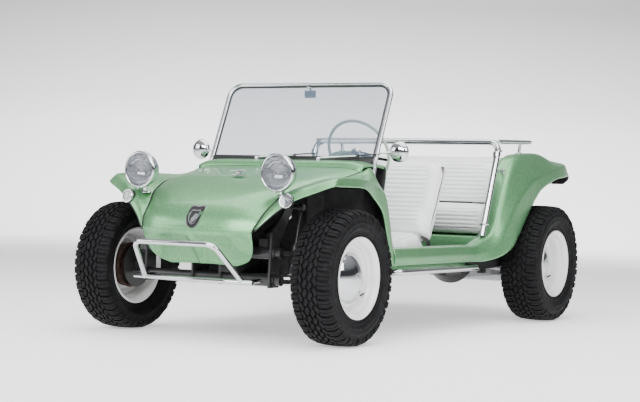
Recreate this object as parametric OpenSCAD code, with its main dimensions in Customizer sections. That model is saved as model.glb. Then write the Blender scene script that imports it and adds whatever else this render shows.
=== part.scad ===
// Long-wheelbase 2+2 beach buggy: fibreglass shell on a rear-engine floorpan.
// Millimetres. X is across (+X = the car's left), Y runs front to back, Z is up.
// The front faces -Y. The origin is on the ground under the middle of the car.

/* [Chassis] */
// Distance between the front and the rear axle
wheelbase = 2400; // [2350:1:2450]
// Half of the front track, to the middle of the tyre
front_half_track = 678; // [670:1:690]
// Half of the rear track, to the middle of the tyre
rear_half_track = 731; // [725:1:745]
// Thickness of the floorpan sheet and frame plates
pan_t = 12; // [6:1:16]

/* [Wheels] */
// Outer diameter of a front tyre
front_tyre_d = 692; // [660:1:700]
// Width of a front tyre
front_tyre_w = 215; // [190:1:220]
// Outer diameter of a rear tyre
rear_tyre_d = 726; // [700:1:740]
// Width of a rear tyre
rear_tyre_w = 238; // [220:1:245]
// Width of a front rim over its flanges
front_rim_w = 168; // [150:1:175]
// Width of a rear rim over its flanges
rear_rim_w = 200; // [180:1:205]

/* [Body shell] */
// Thickness of the fibreglass shell
shell_t = 6; // [4:0.5:9]
// Outer diameter of the chrome tubes
tube_d = 32; // [25:1:38]
// Rake of the windshield back from vertical, in degrees
shield_rake = 23.3; // [20:0.1:28]
// Diameter of the headlamp shells
lamp_d = 196; // [180:1:200]

/* [Steering] */
// Diameter of the steering wheel over its rim
steer_wheel_d = 400; // [340:1:410]
// Angle of the steering column above horizontal, in degrees
column_angle = 26; // [20:1:30]

/* [Hidden] */
$fn = 48;
YC = 1290;                    // the middle of the car behind the front axle
FZ = front_tyre_d / 2;        // height of the front axle
RZ = rear_tyre_d / 2;         // height of the rear axle
KPX = 560;                    // steering pivot, from the middle
T = shell_t;
TR = tube_d / 2;
SW = [240, 900, 1006];        // middle of the steering wheel

green = [0.47, 0.70, 0.50];
dark = [0.08, 0.08, 0.09];
chrome = [0.82, 0.83, 0.85];
vinyl = [0.93, 0.93, 0.92];

// ---------- curves, grids and sheets ----------
// Catmull-Rom point between b and c
function cr(a, b, c, d, t) = 0.5 * ((2 * b) + (c - a) * t + (2 * a - 5 * b + 4 * c - d) * t * t + (3 * b - a - 3 * c + d) * t * t * t);
// a row of points made smooth, with k steps for each gap
function smooth(P, k) = let(n = len(P)) [for (i = [0 : n - 2]) for (s = [0 : k - 1])
    cr(P[max(i - 1, 0)], P[i], P[i + 1], P[min(i + 2, n - 1)], s / k), P[n - 1]];
function column(G, j) = [for (i = [0 : len(G) - 1]) G[i][j]];
function turned(G) = [for (j = [0 : len(G[0]) - 1]) column(G, j)];
// a grid of control points made smooth both ways
function fine(G, ku, kv) = let(A = [for (r = G) smooth(r, kv)], B = turned(A)) turned([for (r = B) smooth(r, ku)]);
function unit(v) = v / max(norm(v), 1e-6);
// closed sheet of thickness t under a grid; s = 1 when (down the rows) x (along a row) points outwards
module sheet(G, t, s = 1) {
  n = len(G); m = len(G[0]); N = n * m;
  nr = [for (i = [0 : n - 1]) [for (j = [0 : m - 1])
      unit(cross(G[min(i + 1, n - 1)][j] - G[max(i - 1, 0)][j], G[i][min(j + 1, m - 1)] - G[i][max(j - 1, 0)])) * s]];
  pts = concat([for (i = [0 : n - 1]) for (j = [0 : m - 1]) G[i][j]],
               [for (i = [0 : n - 1]) for (j = [0 : m - 1]) G[i][j] - t * nr[i][j]]);
  top = [for (i = [0 : n - 2]) for (j = [0 : m - 2]) each
      [[i * m + j, (i + 1) * m + j + 1, (i + 1) * m + j], [i * m + j, i * m + j + 1, (i + 1) * m + j + 1]]];
  low = [for (f = top) [N + f[0], N + f[2], N + f[1]]];
  e = concat([for (j = [0 : m - 2]) [j, j + 1]], [for (i = [0 : n - 2]) [i * m + m - 1, (i + 1) * m + m - 1]],
             [for (j = [m - 1 : -1 : 1]) [(n - 1) * m + j, (n - 1) * m + j - 1]], [for (i = [n - 1 : -1 : 1]) [i * m, (i - 1) * m]]);
  rim = [for (q = e) each [[q[1], q[0], N + q[0]], [q[1], N + q[0], N + q[1]]]];
  all = concat(top, low, rim);
  polyhedron(pts, s > 0 ? all : [for (f = all) [f[0], f[2], f[1]]], convexity = 8);
}
// outline of a bent sheet of thickness t along a path, to be extruded; the sheet lies right of the path
function side(a, b) = let(d = unit(b - a)) [d[1], -d[0]];
function bent(P, t) = let(n = len(P), off = [for (i = [0 : n - 1])
    let(u = i == 0 ? side(P[0], P[1]) : side(P[i - 1], P[i]), v = i == n - 1 ? u : side(P[i], P[i + 1]), w = i == 0 ? v : u, c = w + v)
    P[i] + c * (t * 2 / max(c * c, 0.5) / 1)])
    concat(P, [for (i = [n - 1 : -1 : 0]) off[i]]);
// extrudes an outline drawn in (Y, Z) along X, from x0 to x1
module along_x(x0, x1) translate([x0, 0, 0]) rotate([90, 0, 90]) linear_extrude(x1 - x0) children();
module both() { children(); mirror([1, 0, 0]) children(); }
module shift() translate([0, -YC, 0]) children();
// turns +Z to the direction v
module aim(v) rotate([0, acos(unit(v)[2]), atan2(v[1], v[0])]) children();
module rod(a, b, r, fn = 24) translate(a) aim(b - a) cylinder(r = r, h = norm(b - a), $fn = fn);
// points of the elbow at p, k steps round it
function elbow(a, p, b, R, k) = let(u = unit(a - p), v = unit(b - p), ang = acos(max(-1, min(1, u * v))), q = R / tan(ang / 2),
    c = p + unit(u + v) * (R / sin(ang / 2)), x = unit(p + u * q - c), e = unit(p + v * q - c), y = unit(e - x * (x * e)))
    [for (i = [0 : k]) c + R * (x * cos((180 - ang) * i / k) + y * sin((180 - ang) * i / k))];
function bends(P, R, k) = concat([P[0]], [for (i = [1 : 1 : len(P) - 2]) each elbow(P[i - 1], P[i], P[i + 1], R, k)], [P[len(P) - 1]]);
// round tube swept along bends(P); each ring lies across the path
module tube(P, r, R, k = 6, sides = 16) {
  Q = bends(P, R, k); n = len(Q);
  w = unit(cross(P[1] - P[0], len(P) > 2 ? P[2] - P[1] : [0.1, 0.2, 1]));
  pts = [for (i = [0 : n - 1]) let(d = unit(Q[min(i + 1, n - 1)] - Q[max(i - 1, 0)]), a = unit(w - d * (w * d)), b = cross(d, a))
      for (j = [0 : sides - 1]) Q[i] + r * (a * cos(360 * j / sides) + b * sin(360 * j / sides))];
  faces = concat([[for (j = [0 : sides - 1]) j]], [[for (j = [sides - 1 : -1 : 0]) (n - 1) * sides + j]],
      [for (i = [0 : n - 2]) for (j = [0 : sides - 1]) let(e = (j + 1) % sides) each
          [[i * sides + j, (i + 1) * sides + e, i * sides + e], [i * sides + j, (i + 1) * sides + j, (i + 1) * sides + e]]]);
  polyhedron(pts, faces, convexity = 6);
}

// ---------- the shell's control points ----------
// front fender, from the nose round the arch to the sill: lip edge, crest, middle, inner seam
FF = [
  [[352, -322, 566], [353, -319, 573], [349, -316, 576], [345, -318, 577]],
  [[410, -290, 630], [408, -284, 655], [384, -284, 650], [361, -290, 622]],
  [[480, -263, 693], [470, -250, 728], [424, -244, 714], [369, -250, 664]],
  [[540, -242, 730], [528, -220, 770], [464, -205, 764], [385, -200, 707]],
  [[602, -209, 759], [588, -178, 800], [500, -155, 796], [405, -148, 752]],
  [[698, -162, 799], [680, -124, 838], [560, -88, 828], [424, -84, 778]],
  [[706, -95, 800], [696, -62, 848], [574, -15, 844], [443, -25, 798]],
  [[706, 10, 800], [696, 30, 849], [590, 70, 851], [462, 60, 817]],
  [[702, 130, 799], [692, 150, 847], [602, 170, 855], [488, 185, 836]],
  [[684, 230, 786], [676, 258, 836], [606, 285, 850], [510, 300, 854]],
  [[662, 330, 750], [656, 362, 810], [602, 400, 842], [530, 418, 885]],
  [[654, 408, 710], [648, 440, 793], [600, 480, 832], [544, 508, 905]],
  [[651, 465, 660], [644, 505, 755], [600, 546, 775], [552, 566, 800]],
  [[650, 507, 566], [643, 549, 650], [602, 580, 655], [556, 590, 660]],
  [[650, 552, 455], [643, 592, 505], [604, 606, 505], [560, 610, 505]],
  [[650, 586, 384], [646, 630, 384], [606, 636, 384], [566, 638, 384]]];
// hood: centre line (Y, Z), seam (X, Y, Z) and how square the section is
HC = [[-240, 390], [-262, 412], [-310, 470], [-378, 549], [-373, 590], [-350, 640], [-300, 692], [-220, 742], [-120, 786], [0, 826], [60, 844], [200, 872], [310, 892], [420, 907]];
HE = [[205, -246, 386], [285, -262, 415], [325, -292, 472], [338, -326, 553], [342, -321, 576], [358, -293, 621], [366, -253, 662], [382, -203, 705], [402, -151, 750], [440, -28, 796], [459, 58, 815], [485, 184, 834], [507, 300, 852], [526, 418, 883]];
HP = [2, 2, 2.4, 3, 3.4, 4, 4.6, 5.5, 8, 9, 10, 11, 11, 11];
HT = [-1, -0.985, -0.95, -0.89, -0.8, -0.66, -0.45, -0.22, 0, 0.22, 0.45, 0.66, 0.8, 0.89, 0.95, 0.985, 1];
HG = [for (i = [0 : len(HC) - 1]) [for (t = HT) let(w = pow(abs(t), HP[i]))
    [HE[i][0] * t, HC[i][0] + (HE[i][1] - HC[i][0]) * w, HC[i][1] + (HE[i][2] - HC[i][1]) * w]]];
// cowl and dash: (Y, Z) along the middle, and the half width
CK = [[423, 906, 527], [430, 926, 532], [444, 938, 536], [500, 946, 542], [560, 947, 545], [640, 940, 545], [668, 926, 545], [676, 890, 545], [664, 800, 542]];
CG = [for (k = CK) [for (t = HT) let(w = pow(abs(t), 12)) [k[2] * t, k[0], k[1] - (k[0] < 650 ? 28 : 12) * w]]];
// rear fender, from the sill up round the arch to the tail: lip edge, outer crease, shoulder, inner edge
RF = [
  [[652, 1606, 384], [653, 1606, 430], [640, 1606, 478], [590, 1606, 484]],
  [[676, 1700, 387], [672, 1692, 450], [650, 1688, 500], [590, 1694, 510]],
  [[722, 1799, 411], [706, 1790, 490], [664, 1788, 562], [592, 1824, 562]],
  [[748, 1919, 459], [734, 1882, 600], [678, 1848, 690], [594, 1886, 700]],
  [[752, 2017, 543], [745, 1975, 720], [684, 1902, 800], [594, 1930, 808]],
  [[754, 2117, 646], [750, 2086, 810], [688, 1958, 890], [594, 1968, 894]],
  [[756, 2218, 742], [752, 2202, 876], [684, 2028, 970], [594, 2014, 960]],
  [[760, 2325, 822], [754, 2310, 903], [676, 2130, 1034], [592, 2088, 1014]],
  [[762, 2457, 868], [756, 2440, 932], [668, 2268, 1054], [590, 2210, 1042]],
  [[762, 2570, 896], [755, 2560, 956], [668, 2480, 1057], [590, 2420, 1052]],
  [[757, 2690, 908], [748, 2680, 978], [672, 2620, 1024], [590, 2590, 1034]],
  [[742, 2790, 918], [733, 2765, 990], [676, 2760, 1012], [590, 2760, 1012]],
  [[730, 2850, 920], [720, 2812, 984], [676, 2868, 994], [590, 2880, 990]],
  [[716, 2884, 914], [706, 2898, 902], [672, 2906, 869], [590, 2906, 869]]];

// ---------- chassis ----------
module floor_pan() color(dark) shift() {
  difference() {
    union() {
      translate([0, 0, 326]) linear_extrude(pan_t) polygon([[-120, 0], [-200, 150], [-360, 330], [-572, 640], [-572, 1900], [-300, 1960], [300, 1960], [572, 1900], [572, 640], [360, 330], [200, 150], [120, 0]]);
      along_x(-75, 75) polygon([[-95, 300], [-95, 430], [150, 430], [420, 440], [1700, 440], [1960, 430], [1960, 300]]);
    }
    for (s = [-1, 1]) for (y = [700, 1600]) translate([s * 540, y, 300]) cylinder(r = 5.2, h = 60);
  }
}
module front_axle_beam() color(dark) shift() {
  difference() {
    union() {
      for (z = [320, 458]) translate([-404, -190, z]) rotate([0, 90, 0]) cylinder(r = 30, h = 808);
      both() along_x(380, 392) polygon([[-234, 284], [-146, 284], [-146, 500], [-26, 690], [-40, 712], [-70, 712], [-220, 560]]);
      both() translate([380, -52, 692]) rotate([0, 90, 0]) cylinder(r = 9, h = 60);
      for (x = [-92, 80]) translate([x, -230, 288]) cube([12, 146, 205]);
    }
    for (s = [-1, 1]) for (z = [316, 474]) translate([s * 86 - 20, -112, z]) rotate([0, 90, 0]) cylinder(r = 8, h = 40);
  }
}
module front_trailing_arms() color(dark) shift() both() for (z = [308, 458]) difference() {
  union() {
    translate([406, -190, z + (z < 400 ? 12 : 0)]) rotate([0, 90, 0]) cylinder(r = 25, h = 30);
    rod([426, -182, z + (z < 400 ? 8 : 2)], [548, -12, z + 5], 12);
    translate([KPX, 0, z - 7]) cylinder(r = 20, h = 24);
  }
  translate([KPX, 0, z - 20]) cylinder(r = 8.4, h = 60);
}
module front_shocks() color(chrome) shift() both() {
  rod([450, -118, 350], [452, -88, 500], 22);
  rod([452, -88, 500], [455, -56, 668], 9);
  translate([442, -52, 692]) rotate([0, 90, 0]) cylinder(r = 17, h = 30);
}
module knuckle(s) mirror([s < 0 ? 1 : 0, 0, 0]) {
  // upright on its pivot pin between the two arms, spindle, backing plate and steering arm
  translate([KPX - 14, -20, 331]) cube([42, 40, 114]);
  translate([KPX, 0, 296]) cylinder(r = 8, h = 184);
  translate([586, 0, FZ]) rotate([0, 90, 0]) cylinder(r = 34, h = 26);
  translate([610, 0, FZ]) rotate([0, 90, 0]) cylinder(r = 15.6, h = 112);
  translate([616, 0, FZ]) rotate([0, 90, 0]) cylinder(r = 118, h = 4);
  translate([KPX - 12, 10, 424]) rotate([0, 0, 9]) cube([24, 116, 18]);
  translate([540, 128, 424]) cylinder(r = 16, h = 18);
}
module knuckle_left() color(dark) shift() knuckle(1);
module knuckle_right() color(dark) shift() knuckle(-1);
module tie_rod() color([0.3, 0.3, 0.32]) shift() {
  translate([-540, 128, 460]) rotate([0, 90, 0]) cylinder(r = 10, h = 1080);
  both() translate([540, 128, 448]) cylinder(r = 14, h = 24);
}

// ---------- fibreglass ----------
module hood_cover() color(green) shift() sheet(fine(HG, 2, 1), T, -1);
module hood_latch() color(chrome) shift() {
  translate([-34, 30, 846]) rotate([9, 0, 0]) cube([68, 38, 6]);
  translate([-12, 36, 852]) rotate([9, 0, 0]) cube([24, 26, 14]);
  translate([-50, 40, 862]) rotate([9, 0, 0]) cube([100, 14, 8]);
}
module front_fender() sheet(fine(FF, 2, 3), T, -1);
module front_fender_left() color(green) shift() front_fender();
module front_fender_right() color(green) shift() mirror([1, 0, 0]) front_fender();
module column_hole(y, r) translate([SW[0], y, SW[2] - (SW[1] - y) * tan(column_angle)]) rotate([column_angle - 90, 0, 0]) translate([0, 0, -60]) cylinder(r = r, h = 130);
module cowl_and_dash() color(green) shift() difference() {
  sheet(fine(CG, 2, 1), T, -1);
  column_hole(672, 25);
}
// a flat upright panel from a to b, t thick towards its left, between z0 and z1
module panel(a, b, z0, z1, t) translate([a.x, a.y, z0]) rotate([0, 0, atan2(b.y - a.y, b.x - a.x)]) cube([norm(b - a), t, z1 - z0]);
module footwell() color(dark) shift() {
  // seven flat panels with a hairline joint between them
  difference() {
    panel([-350, 165], [350, 165], 339, 794, 5);
    column_hole(168, 24);
    // the wall straddles the tunnel
    translate([-76, 160, 330]) cube([152, 16, 104]);
  }
  both() {
    panel([377, 301], [353, 166], 339, 794, 5);
    panel([545, 431], [379, 303], 339, 794, 5);
    panel([560, 600], [546, 434], 339, 794, 5);
  }
  // toe board and floor on each side of the tunnel
  both() translate([0, 0, 339]) linear_extrude(5) polygon([[82, 174], [341, 174], [365, 308], [533, 438], [548, 606], [82, 606]]);
}
module side_sills() color(green) shift() both()
  translate([0, 1604, 0]) rotate([90, 0, 0]) linear_extrude(962)
    polygon(bent([[644, 384], [652, 390], [654, 430], [650, 468], [640, 479], [600, 486], [584, 480], [578, 430], [578, 342]], T));
module rear_fender() sheet(fine(RF, 2, 3), T, -1);
module rear_fender_left() color(green) shift() rear_fender();
module rear_fender_right() color(green) shift() mirror([1, 0, 0]) rear_fender();
module rear_tub() color(green) shift() {
  // bench base, bulkhead, deck and rear skirt as one bent sheet
  along_x(-583, 583) polygon(bent([[1900, 342], [1930, 528], [2196, 536], [2268, 1010], [2300, 1022], [2560, 1002], [2830, 978], [2880, 962], [2900, 930], [2904, 869]], -T));
  // side walls up to the fender tops
  both() along_x(583, 589) polygon([[1610, 342], [1610, 478], [1694, 504], [1824, 556], [1886, 694], [1930, 802], [1968, 888], [2014, 954], [2088, 1008], [2210, 1036], [2420, 1046], [2590, 1028], [2760, 1006], [2870, 984], [2898, 950], [2898, 871], [2530, 871], [2440, 840], [2380, 770], [2240, 560], [2150, 342]]);
}

// ---------- windshield ----------
module in_shield() translate([0, 556, 931]) rotate([-shield_rake, 0, 0]) children();
module windshield_frame() color(chrome) shift() {
  in_shield() tube([[-552, 0, -124], [-534, 0, 20], [-534, 0, 488], [534, 0, 488], [534, 0, 20], [552, 0, -124]], 13, 80);
  in_shield() rod([-528, 0, 22], [528, 0, 22], 10);
  both() translate([534, 478, 836]) rotate([-shield_rake, 0, 0]) cube([12, 44, 76]);
}
module windshield_glass() color([0.75, 0.8, 0.84, 0.4]) shift() in_shield() translate([-519, -3, 34]) cube([1038, 6, 439]);
module wipers() color(dark) shift() for (x = [-170, 232]) {
  translate([x, 474, 945]) rotate([-8, 0, 0]) cylinder(r = 12, h = 14);
  rod([x, 476, 957], [x + 200, 535, 975], 4);
  rod([x + 60, 540, 966], [x + 330, 552, 984], 5);
}
module mirrors() color(chrome) shift() {
  both() {
    rod([542, 590, 990], [610, 606, 998], 6);
    translate([650, 618, 1000]) rotate([90, 0, 0]) cylinder(r1 = 58, r2 = 20, h = 30);
  }
  translate([-36, 742, 1305]) cube([72, 12, 40]);
  rod([0, 748, 1335], [0, 752, 1372], 5);
}

// ---------- chrome tubes and lamps ----------
module front_bumper() color(chrome) shift() {
  tube([[-302, -340, 312], [-243, -520, 500], [243, -520, 500], [302, -340, 312]], TR - 2, 60);
  rod([-360, -344, 312], [360, -344, 312], TR - 3);
  both() rod([330, -344, 312], [330, -222, 318], 11);
}
module roll_bar() color(chrome) shift() {
  tube([[-626, 1752, 534], [-650, 1912, 1106], [650, 1912, 1106], [626, 1752, 534]], TR + 3, 62);
  tube([[-650, 1925, 1110], [-650, 2440, 1126], [650, 2440, 1126], [650, 1925, 1110]], TR - 3, 80);
  both() rod([640, 2230, 1058], [648, 2230, 1112], 10);
  both() rod([640, 1862, 930], [644, 1985, 930], 8);
}
module side_steps() color(chrome) shift() both() tube([[560, 640, 350], [664, 640, 350], [664, 1650, 350], [560, 1650, 350]], 17, 50);
module headlights() color(chrome) shift() both() translate([428, 0, 0]) {
  translate([0, -251, 864]) rotate([-90, 0, 0]) rotate_extrude() polygon([[0, -14], [50, -12], [80, -5], [90, 0], [lamp_d / 2, 0], [lamp_d / 2, 16], [92, 30], [84, 60], [60, 92], [30, 108], [0, 112]]);
  rod([0, -195, 752], [0, -200, 790], 16);
  translate([0, -192, 742]) cylinder(r = 30, h = 12);
}
module turn_signals() color([0.9, 0.9, 0.9]) shift() both() translate([492, -252, 722]) rotate([78, 0, 8]) {
  cylinder(r = 37, h = 10);
  cylinder(r1 = 33, r2 = 24, h = 24);
}
module tail_lights() color([0.7, 0.08, 0.06]) shift() both() translate([470, 2896, 908]) rotate([-90, 0, 0]) {
  cylinder(r = 34, h = 14);
  cylinder(r1 = 30, r2 = 24, h = 30);
}

// ---------- cabin ----------
module front_seat() {
  along_x(76, 550) polygon([[800, 430], [800, 484], [826, 512], [900, 532], [1000, 546], [1085, 554], [1120, 546], [1180, 490], [1200, 470], [1190, 400], [1000, 390], [830, 395]]);
  along_x(80, 546) polygon([[1130, 560], [1190, 500], [1250, 490], [1290, 520], [1450, 950], [1440, 980], [1410, 990], [1370, 980], [1290, 840], [1200, 640]]);
}
module front_seat_left() color(vinyl) shift() {
  front_seat();
  along_x(120, 510) polygon([[850, 338], [850, 388], [1180, 388], [1180, 338]]);
}
module front_seat_right() color(vinyl) shift() mirror([1, 0, 0]) {
  front_seat();
  along_x(120, 510) polygon([[850, 338], [850, 388], [1180, 388], [1180, 338]]);
}
module rear_bench() color(vinyl) shift() {
  along_x(-562, 562) polygon([[1932, 545], [1918, 580], [1925, 690], [1950, 712], [2060, 726], [2100, 716], [2120, 640], [2130, 545]]);
  along_x(-560, 560) polygon([[2030, 748], [2104, 742], [2150, 620], [2170, 560], [2190, 580], [2244, 990], [2228, 1030], [2172, 1036], [2122, 1020], [2062, 860]]);
}
module steering_column() color([0.25, 0.25, 0.27]) shift() {
  translate(SW) rotate([90 + column_angle, 0, 0]) translate([0, 0, 52]) cylinder(r = 17, h = 1016);
  translate([205, -158, 440]) cube([70, 84, 84]);
}
module steering_wheel() color([0.62, 0.68, 0.6]) shift() translate(SW) rotate([90 + column_angle, 0, 0]) {
  rotate_extrude($fn = 64) translate([steer_wheel_d / 2 - 10, 0]) circle(r = 10, $fn = 20);
  translate([0, 0, 18]) cylinder(r = 34, h = 30);
  for (a = [195, 270, 345]) rotate([0, 0, a]) rod([20, 0, 34], [steer_wheel_d / 2 - 12, 0, 2], 7);
}
module shift_levers() color(chrome) shift() {
  rod([0, 700, 438], [0, 790, 660], 7);
  translate([0, 793, 668]) sphere(r = 22);
  rod([0, 1010, 446], [0, 880, 560], 9);
  translate([-30, 670, 438]) cube([60, 70, 8]);
}
module foot_pedals() color(dark) shift() for (x = [130, 215, 300]) {
  rod([x, 262, 350], [x, 222, 500], 7);
  translate([x - 26, 214, 500]) rotate([20, 0, 0]) cube([52, 10, 60]);
}

// ---------- engine, gearbox and rear axle ----------
module transaxle() color([0.5, 0.5, 0.52]) shift() {
  translate([0, 2050, 366]) rotate([-90, 0, 0]) cylinder(r1 = 70, r2 = 105, h = 240);
  translate([-128, 2290, 258]) cube([256, 220, 216]);
  translate([0, 2510, 366]) rotate([-90, 0, 0]) cylinder(r1 = 128, r2 = 178, h = 90);
}
module rear_suspension() color(dark) shift() {
  translate([-520, 2002, 340]) rotate([0, 90, 0]) cylinder(r = 34, h = 1040);
  both() {
    translate([500, 1962, 300]) cube([24, 80, 80]);
    rod([512, 2010, 340], [592, 2392, RZ], 20);
    translate([130, 2400, RZ]) rotate([0, 90, 0]) cylinder(r = 34, h = 470);
    translate([590, 2400, RZ]) rotate([0, 90, 0]) cylinder(r = 60, h = 40);
    translate([628, 2400, RZ]) rotate([0, 90, 0]) cylinder(r = 15.6, h = 122);
    translate([132, 1960, 312]) cube([34, 560, 46]);
  }
}
module rear_shocks() color(chrome) shift() both() {
  rod([545, 2470, 312], [522, 2466, 520], 25);
  rod([522, 2466, 520], [502, 2462, 690], 12);
  translate([470, 2460, 700]) rotate([0, 90, 0]) cylinder(r = 17, h = 56);
}
module engine_block() color([0.45, 0.45, 0.47]) shift() {
  translate([-150, 2600, 236]) cube([300, 350, 250]);
  for (s = [-1, 1]) translate([s > 0 ? 150 : -372, 2630, 330]) cube([222, 280, 140]);
  translate([0, 2950, 352]) rotate([-90, 0, 0]) cylinder(r = 84, h = 34);
  translate([0, 2872, 480]) cylinder(r = 30, h = 76);
}
module fan_shroud() color(dark) shift() {
  translate([-320, 2690, 488]) cube([640, 110, 190]);
  translate([0, 2690, 680]) rotate([-90, 0, 0]) cylinder(r = 150, h = 110);
  translate([0, 2800, 620]) rotate([-90, 0, 0]) cylinder(r = 62, h = 150);
  translate([0, 2950, 620]) rotate([-90, 0, 0]) cylinder(r = 76, h = 26);
}
module exhaust() color(chrome) shift() {
  translate([-300, 3042, 240]) rotate([0, 90, 0]) cylinder(r = 48, h = 600);
  both() tube([[250, 2880, 300], [330, 2880, 300], [330, 3042, 285], [330, 3046, 240], [280, 3042, 240]], 18, 18, 4, 12);
  for (s = [-1, 1]) rod([s * 120, 3060, 232], [s * 120, 3114, 226], 19);
}
module rear_bumper() color(chrome) shift() {
  tube([[-420, 2560, 300], [-420, 3100, 430], [420, 3100, 430], [420, 2560, 300]], TR, 90);
  both() rod([420, 2572, 303], [150, 2500, 330], 14);
}

// ---------- wheels ----------
// tyre section: half width w, outer radius R; all about the wheel's own axis
// bo and bi: how far the outer and the inner bead stand from the tread's middle
module tyre(R, w, bo, bi) rotate([0, 90, 0]) rotate_extrude($fn = 96) polygon([
  [193, -bi], [212, -bi - 2], [232, -bi - (w - bi) * 0.6], [R - 70, -w], [R - 30, -w * 0.97], [R - 8, -w * 0.88], [R, -w * 0.72],
  [R, w * 0.72], [R - 8, w * 0.88], [R - 30, w * 0.97], [R - 70, w], [232, bo + (w - bo) * 0.6], [212, bo + 2], [193, bo],
  [193, bo - 12], [214, bo - 10], [236, bo + (w - bo) * 0.6 - 12], [R - 60, w * 0.90], [R - 18, w * 0.66], [R - 18, -w * 0.66], [R - 60, -w * 0.90],
  [236, -bi - (w - bi) * 0.6 + 12], [214, -bi + 10], [193, -bi + 12]]);
// rim, drum and hubcap about the wheel's axis; w is half of the rim's width, d the depth of the disc inside the outer flange
module rim(w, d, cap) rotate([0, 90, 0]) {
  q = w - d;
  rotate_extrude($fn = 96) polygon([[208, -w], [208, -w + 6], [192, -w + 12], [186, -w + 50], [170, -w + 60], [170, w - 60], [186, w - 50], [192, w - 12],
    [208, w - 6], [208, w], [202, w], [184, w - 14], [178, w - 48], [162, w - 58], [162, q + 8], [146, q + 6], [118, q + 9], [50, q + 6], [50, q], [118, q + 2],
    [148, q - 2], [162, q - 6], [162, -w + 62], [178, -w + 50], [182, -w + 16], [200, -w]]);
  // hubcap, clear of the disc
  rotate_extrude($fn = 64) polygon([[128, q + 12], [126, q + 20], [110, q + cap * 0.52], [76, q + cap * 0.82], [34, q + cap * 0.93], [14, q + cap * 0.95], [12, q + cap], [0, q + cap],
    [0, q + cap - 8], [34, q + cap * 0.93 - 4], [74, q + cap * 0.82 - 4], [107, q + cap * 0.52 - 3], [122, q + 18], [124, q + 12]]);
  // brake drum with its hub
  rotate_extrude($fn = 64) polygon([[16, q - 1], [110, q - 1], [116, q - 8], [116, q - 54], [108, q - 54], [108, q - 12], [42, q - 12], [42, q - 60], [16, q - 60]]);
}
module tyre_front_left() color(dark) translate([front_half_track, -YC, FZ]) tyre(FZ, front_tyre_w / 2, 87, 53);
module tyre_front_right() color(dark) translate([-front_half_track, -YC, FZ]) tyre(FZ, front_tyre_w / 2, 53, 87);
module tyre_rear_left() color(dark) translate([rear_half_track, wheelbase - YC, RZ]) tyre(RZ, rear_tyre_w / 2, 94, 78);
module tyre_rear_right() color(dark) translate([-rear_half_track, wheelbase - YC, RZ]) tyre(RZ, rear_tyre_w / 2, 78, 94);
module front_rim() rim(front_rim_w / 2, 70, 62);
module rear_rim() rim(rear_rim_w / 2, 112, 56);
module wheel_front_left() color("white") translate([780 - front_rim_w / 2, -YC, FZ]) front_rim();
module wheel_front_right() color("white") translate([-780 + front_rim_w / 2, -YC, FZ]) mirror([1, 0, 0]) front_rim();
module wheel_rear_left() color("white") translate([840 - rear_rim_w / 2, wheelbase - YC, RZ]) rear_rim();
module wheel_rear_right() color("white") translate([-840 + rear_rim_w / 2, wheelbase - YC, RZ]) mirror([1, 0, 0]) rear_rim();

floor_pan();
front_axle_beam();
front_trailing_arms();
front_shocks();
hood_cover();
hood_latch();
front_fender_left();
front_fender_right();
cowl_and_dash();
footwell();
side_sills();
rear_fender_left();
rear_fender_right();
rear_tub();
windshield_frame();
windshield_glass();
wipers();
mirrors();
front_bumper();
roll_bar();
side_steps();
headlights();
turn_signals();
tail_lights();
front_seat_left();
front_seat_right();
rear_bench();
steering_column();
shift_levers();
foot_pedals();
transaxle();
rear_suspension();
rear_shocks();
engine_block();
fan_shroud();
exhaust();
rear_bumper();
knuckle_left();
knuckle_right();
tie_rod();
steering_wheel();
tyre_front_left();
tyre_front_right();
tyre_rear_left();
tyre_rear_right();
wheel_front_left();
wheel_front_right();
wheel_rear_left();
wheel_rear_right();
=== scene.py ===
import math
import random
import bmesh
import bpy
from mathutils import Matrix, Vector


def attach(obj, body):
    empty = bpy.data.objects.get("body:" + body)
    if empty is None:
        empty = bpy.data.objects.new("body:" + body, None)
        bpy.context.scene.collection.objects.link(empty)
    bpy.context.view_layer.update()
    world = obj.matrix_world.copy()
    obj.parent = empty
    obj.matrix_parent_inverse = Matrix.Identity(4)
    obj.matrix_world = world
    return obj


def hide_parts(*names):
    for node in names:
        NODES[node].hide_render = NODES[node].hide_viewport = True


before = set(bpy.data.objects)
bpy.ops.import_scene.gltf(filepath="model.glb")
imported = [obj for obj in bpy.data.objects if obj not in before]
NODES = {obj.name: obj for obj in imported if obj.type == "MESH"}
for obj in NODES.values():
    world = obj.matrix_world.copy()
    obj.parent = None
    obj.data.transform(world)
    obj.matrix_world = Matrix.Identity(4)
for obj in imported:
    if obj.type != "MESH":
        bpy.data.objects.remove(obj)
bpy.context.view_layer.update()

YC = 1290.0            # the part's origin behind the front axle, mm
FZ, RZ = 346.0, 363.0  # axle heights, mm


# ---------------------------------------------------------------- helpers
def V(p):
    """A point in millimetres behind the front axle to metres in the row frame."""
    return Vector((p[0] / 1000.0, (p[1] - YC) / 1000.0, p[2] / 1000.0))


def link(o):
    bpy.context.scene.collection.objects.link(o)
    return o


def make(name, verts, faces, mat, body="chassis", smooth=True, mats=None, index=None):
    me = bpy.data.meshes.new(name)
    me.from_pydata([tuple(v) for v in verts], [], faces)
    me.validate()
    o = link(bpy.data.objects.new(name, me))
    for m in (mats or [mat]):
        me.materials.append(m)
    if index:
        for p, i in zip(me.polygons, index):
            p.material_index = i
    if smooth:
        me.polygons.foreach_set("use_smooth", [True] * len(me.polygons))
    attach(o, body)
    return o


def from_bm(name, bm, mat, body="chassis", smooth=True, mats=None):
    me = bpy.data.meshes.new(name)
    bm.to_mesh(me)
    bm.free()
    o = link(bpy.data.objects.new(name, me))
    for m in (mats or [mat]):
        me.materials.append(m)
    if smooth:
        me.polygons.foreach_set("use_smooth", [True] * len(me.polygons))
    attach(o, body)
    return o


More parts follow.
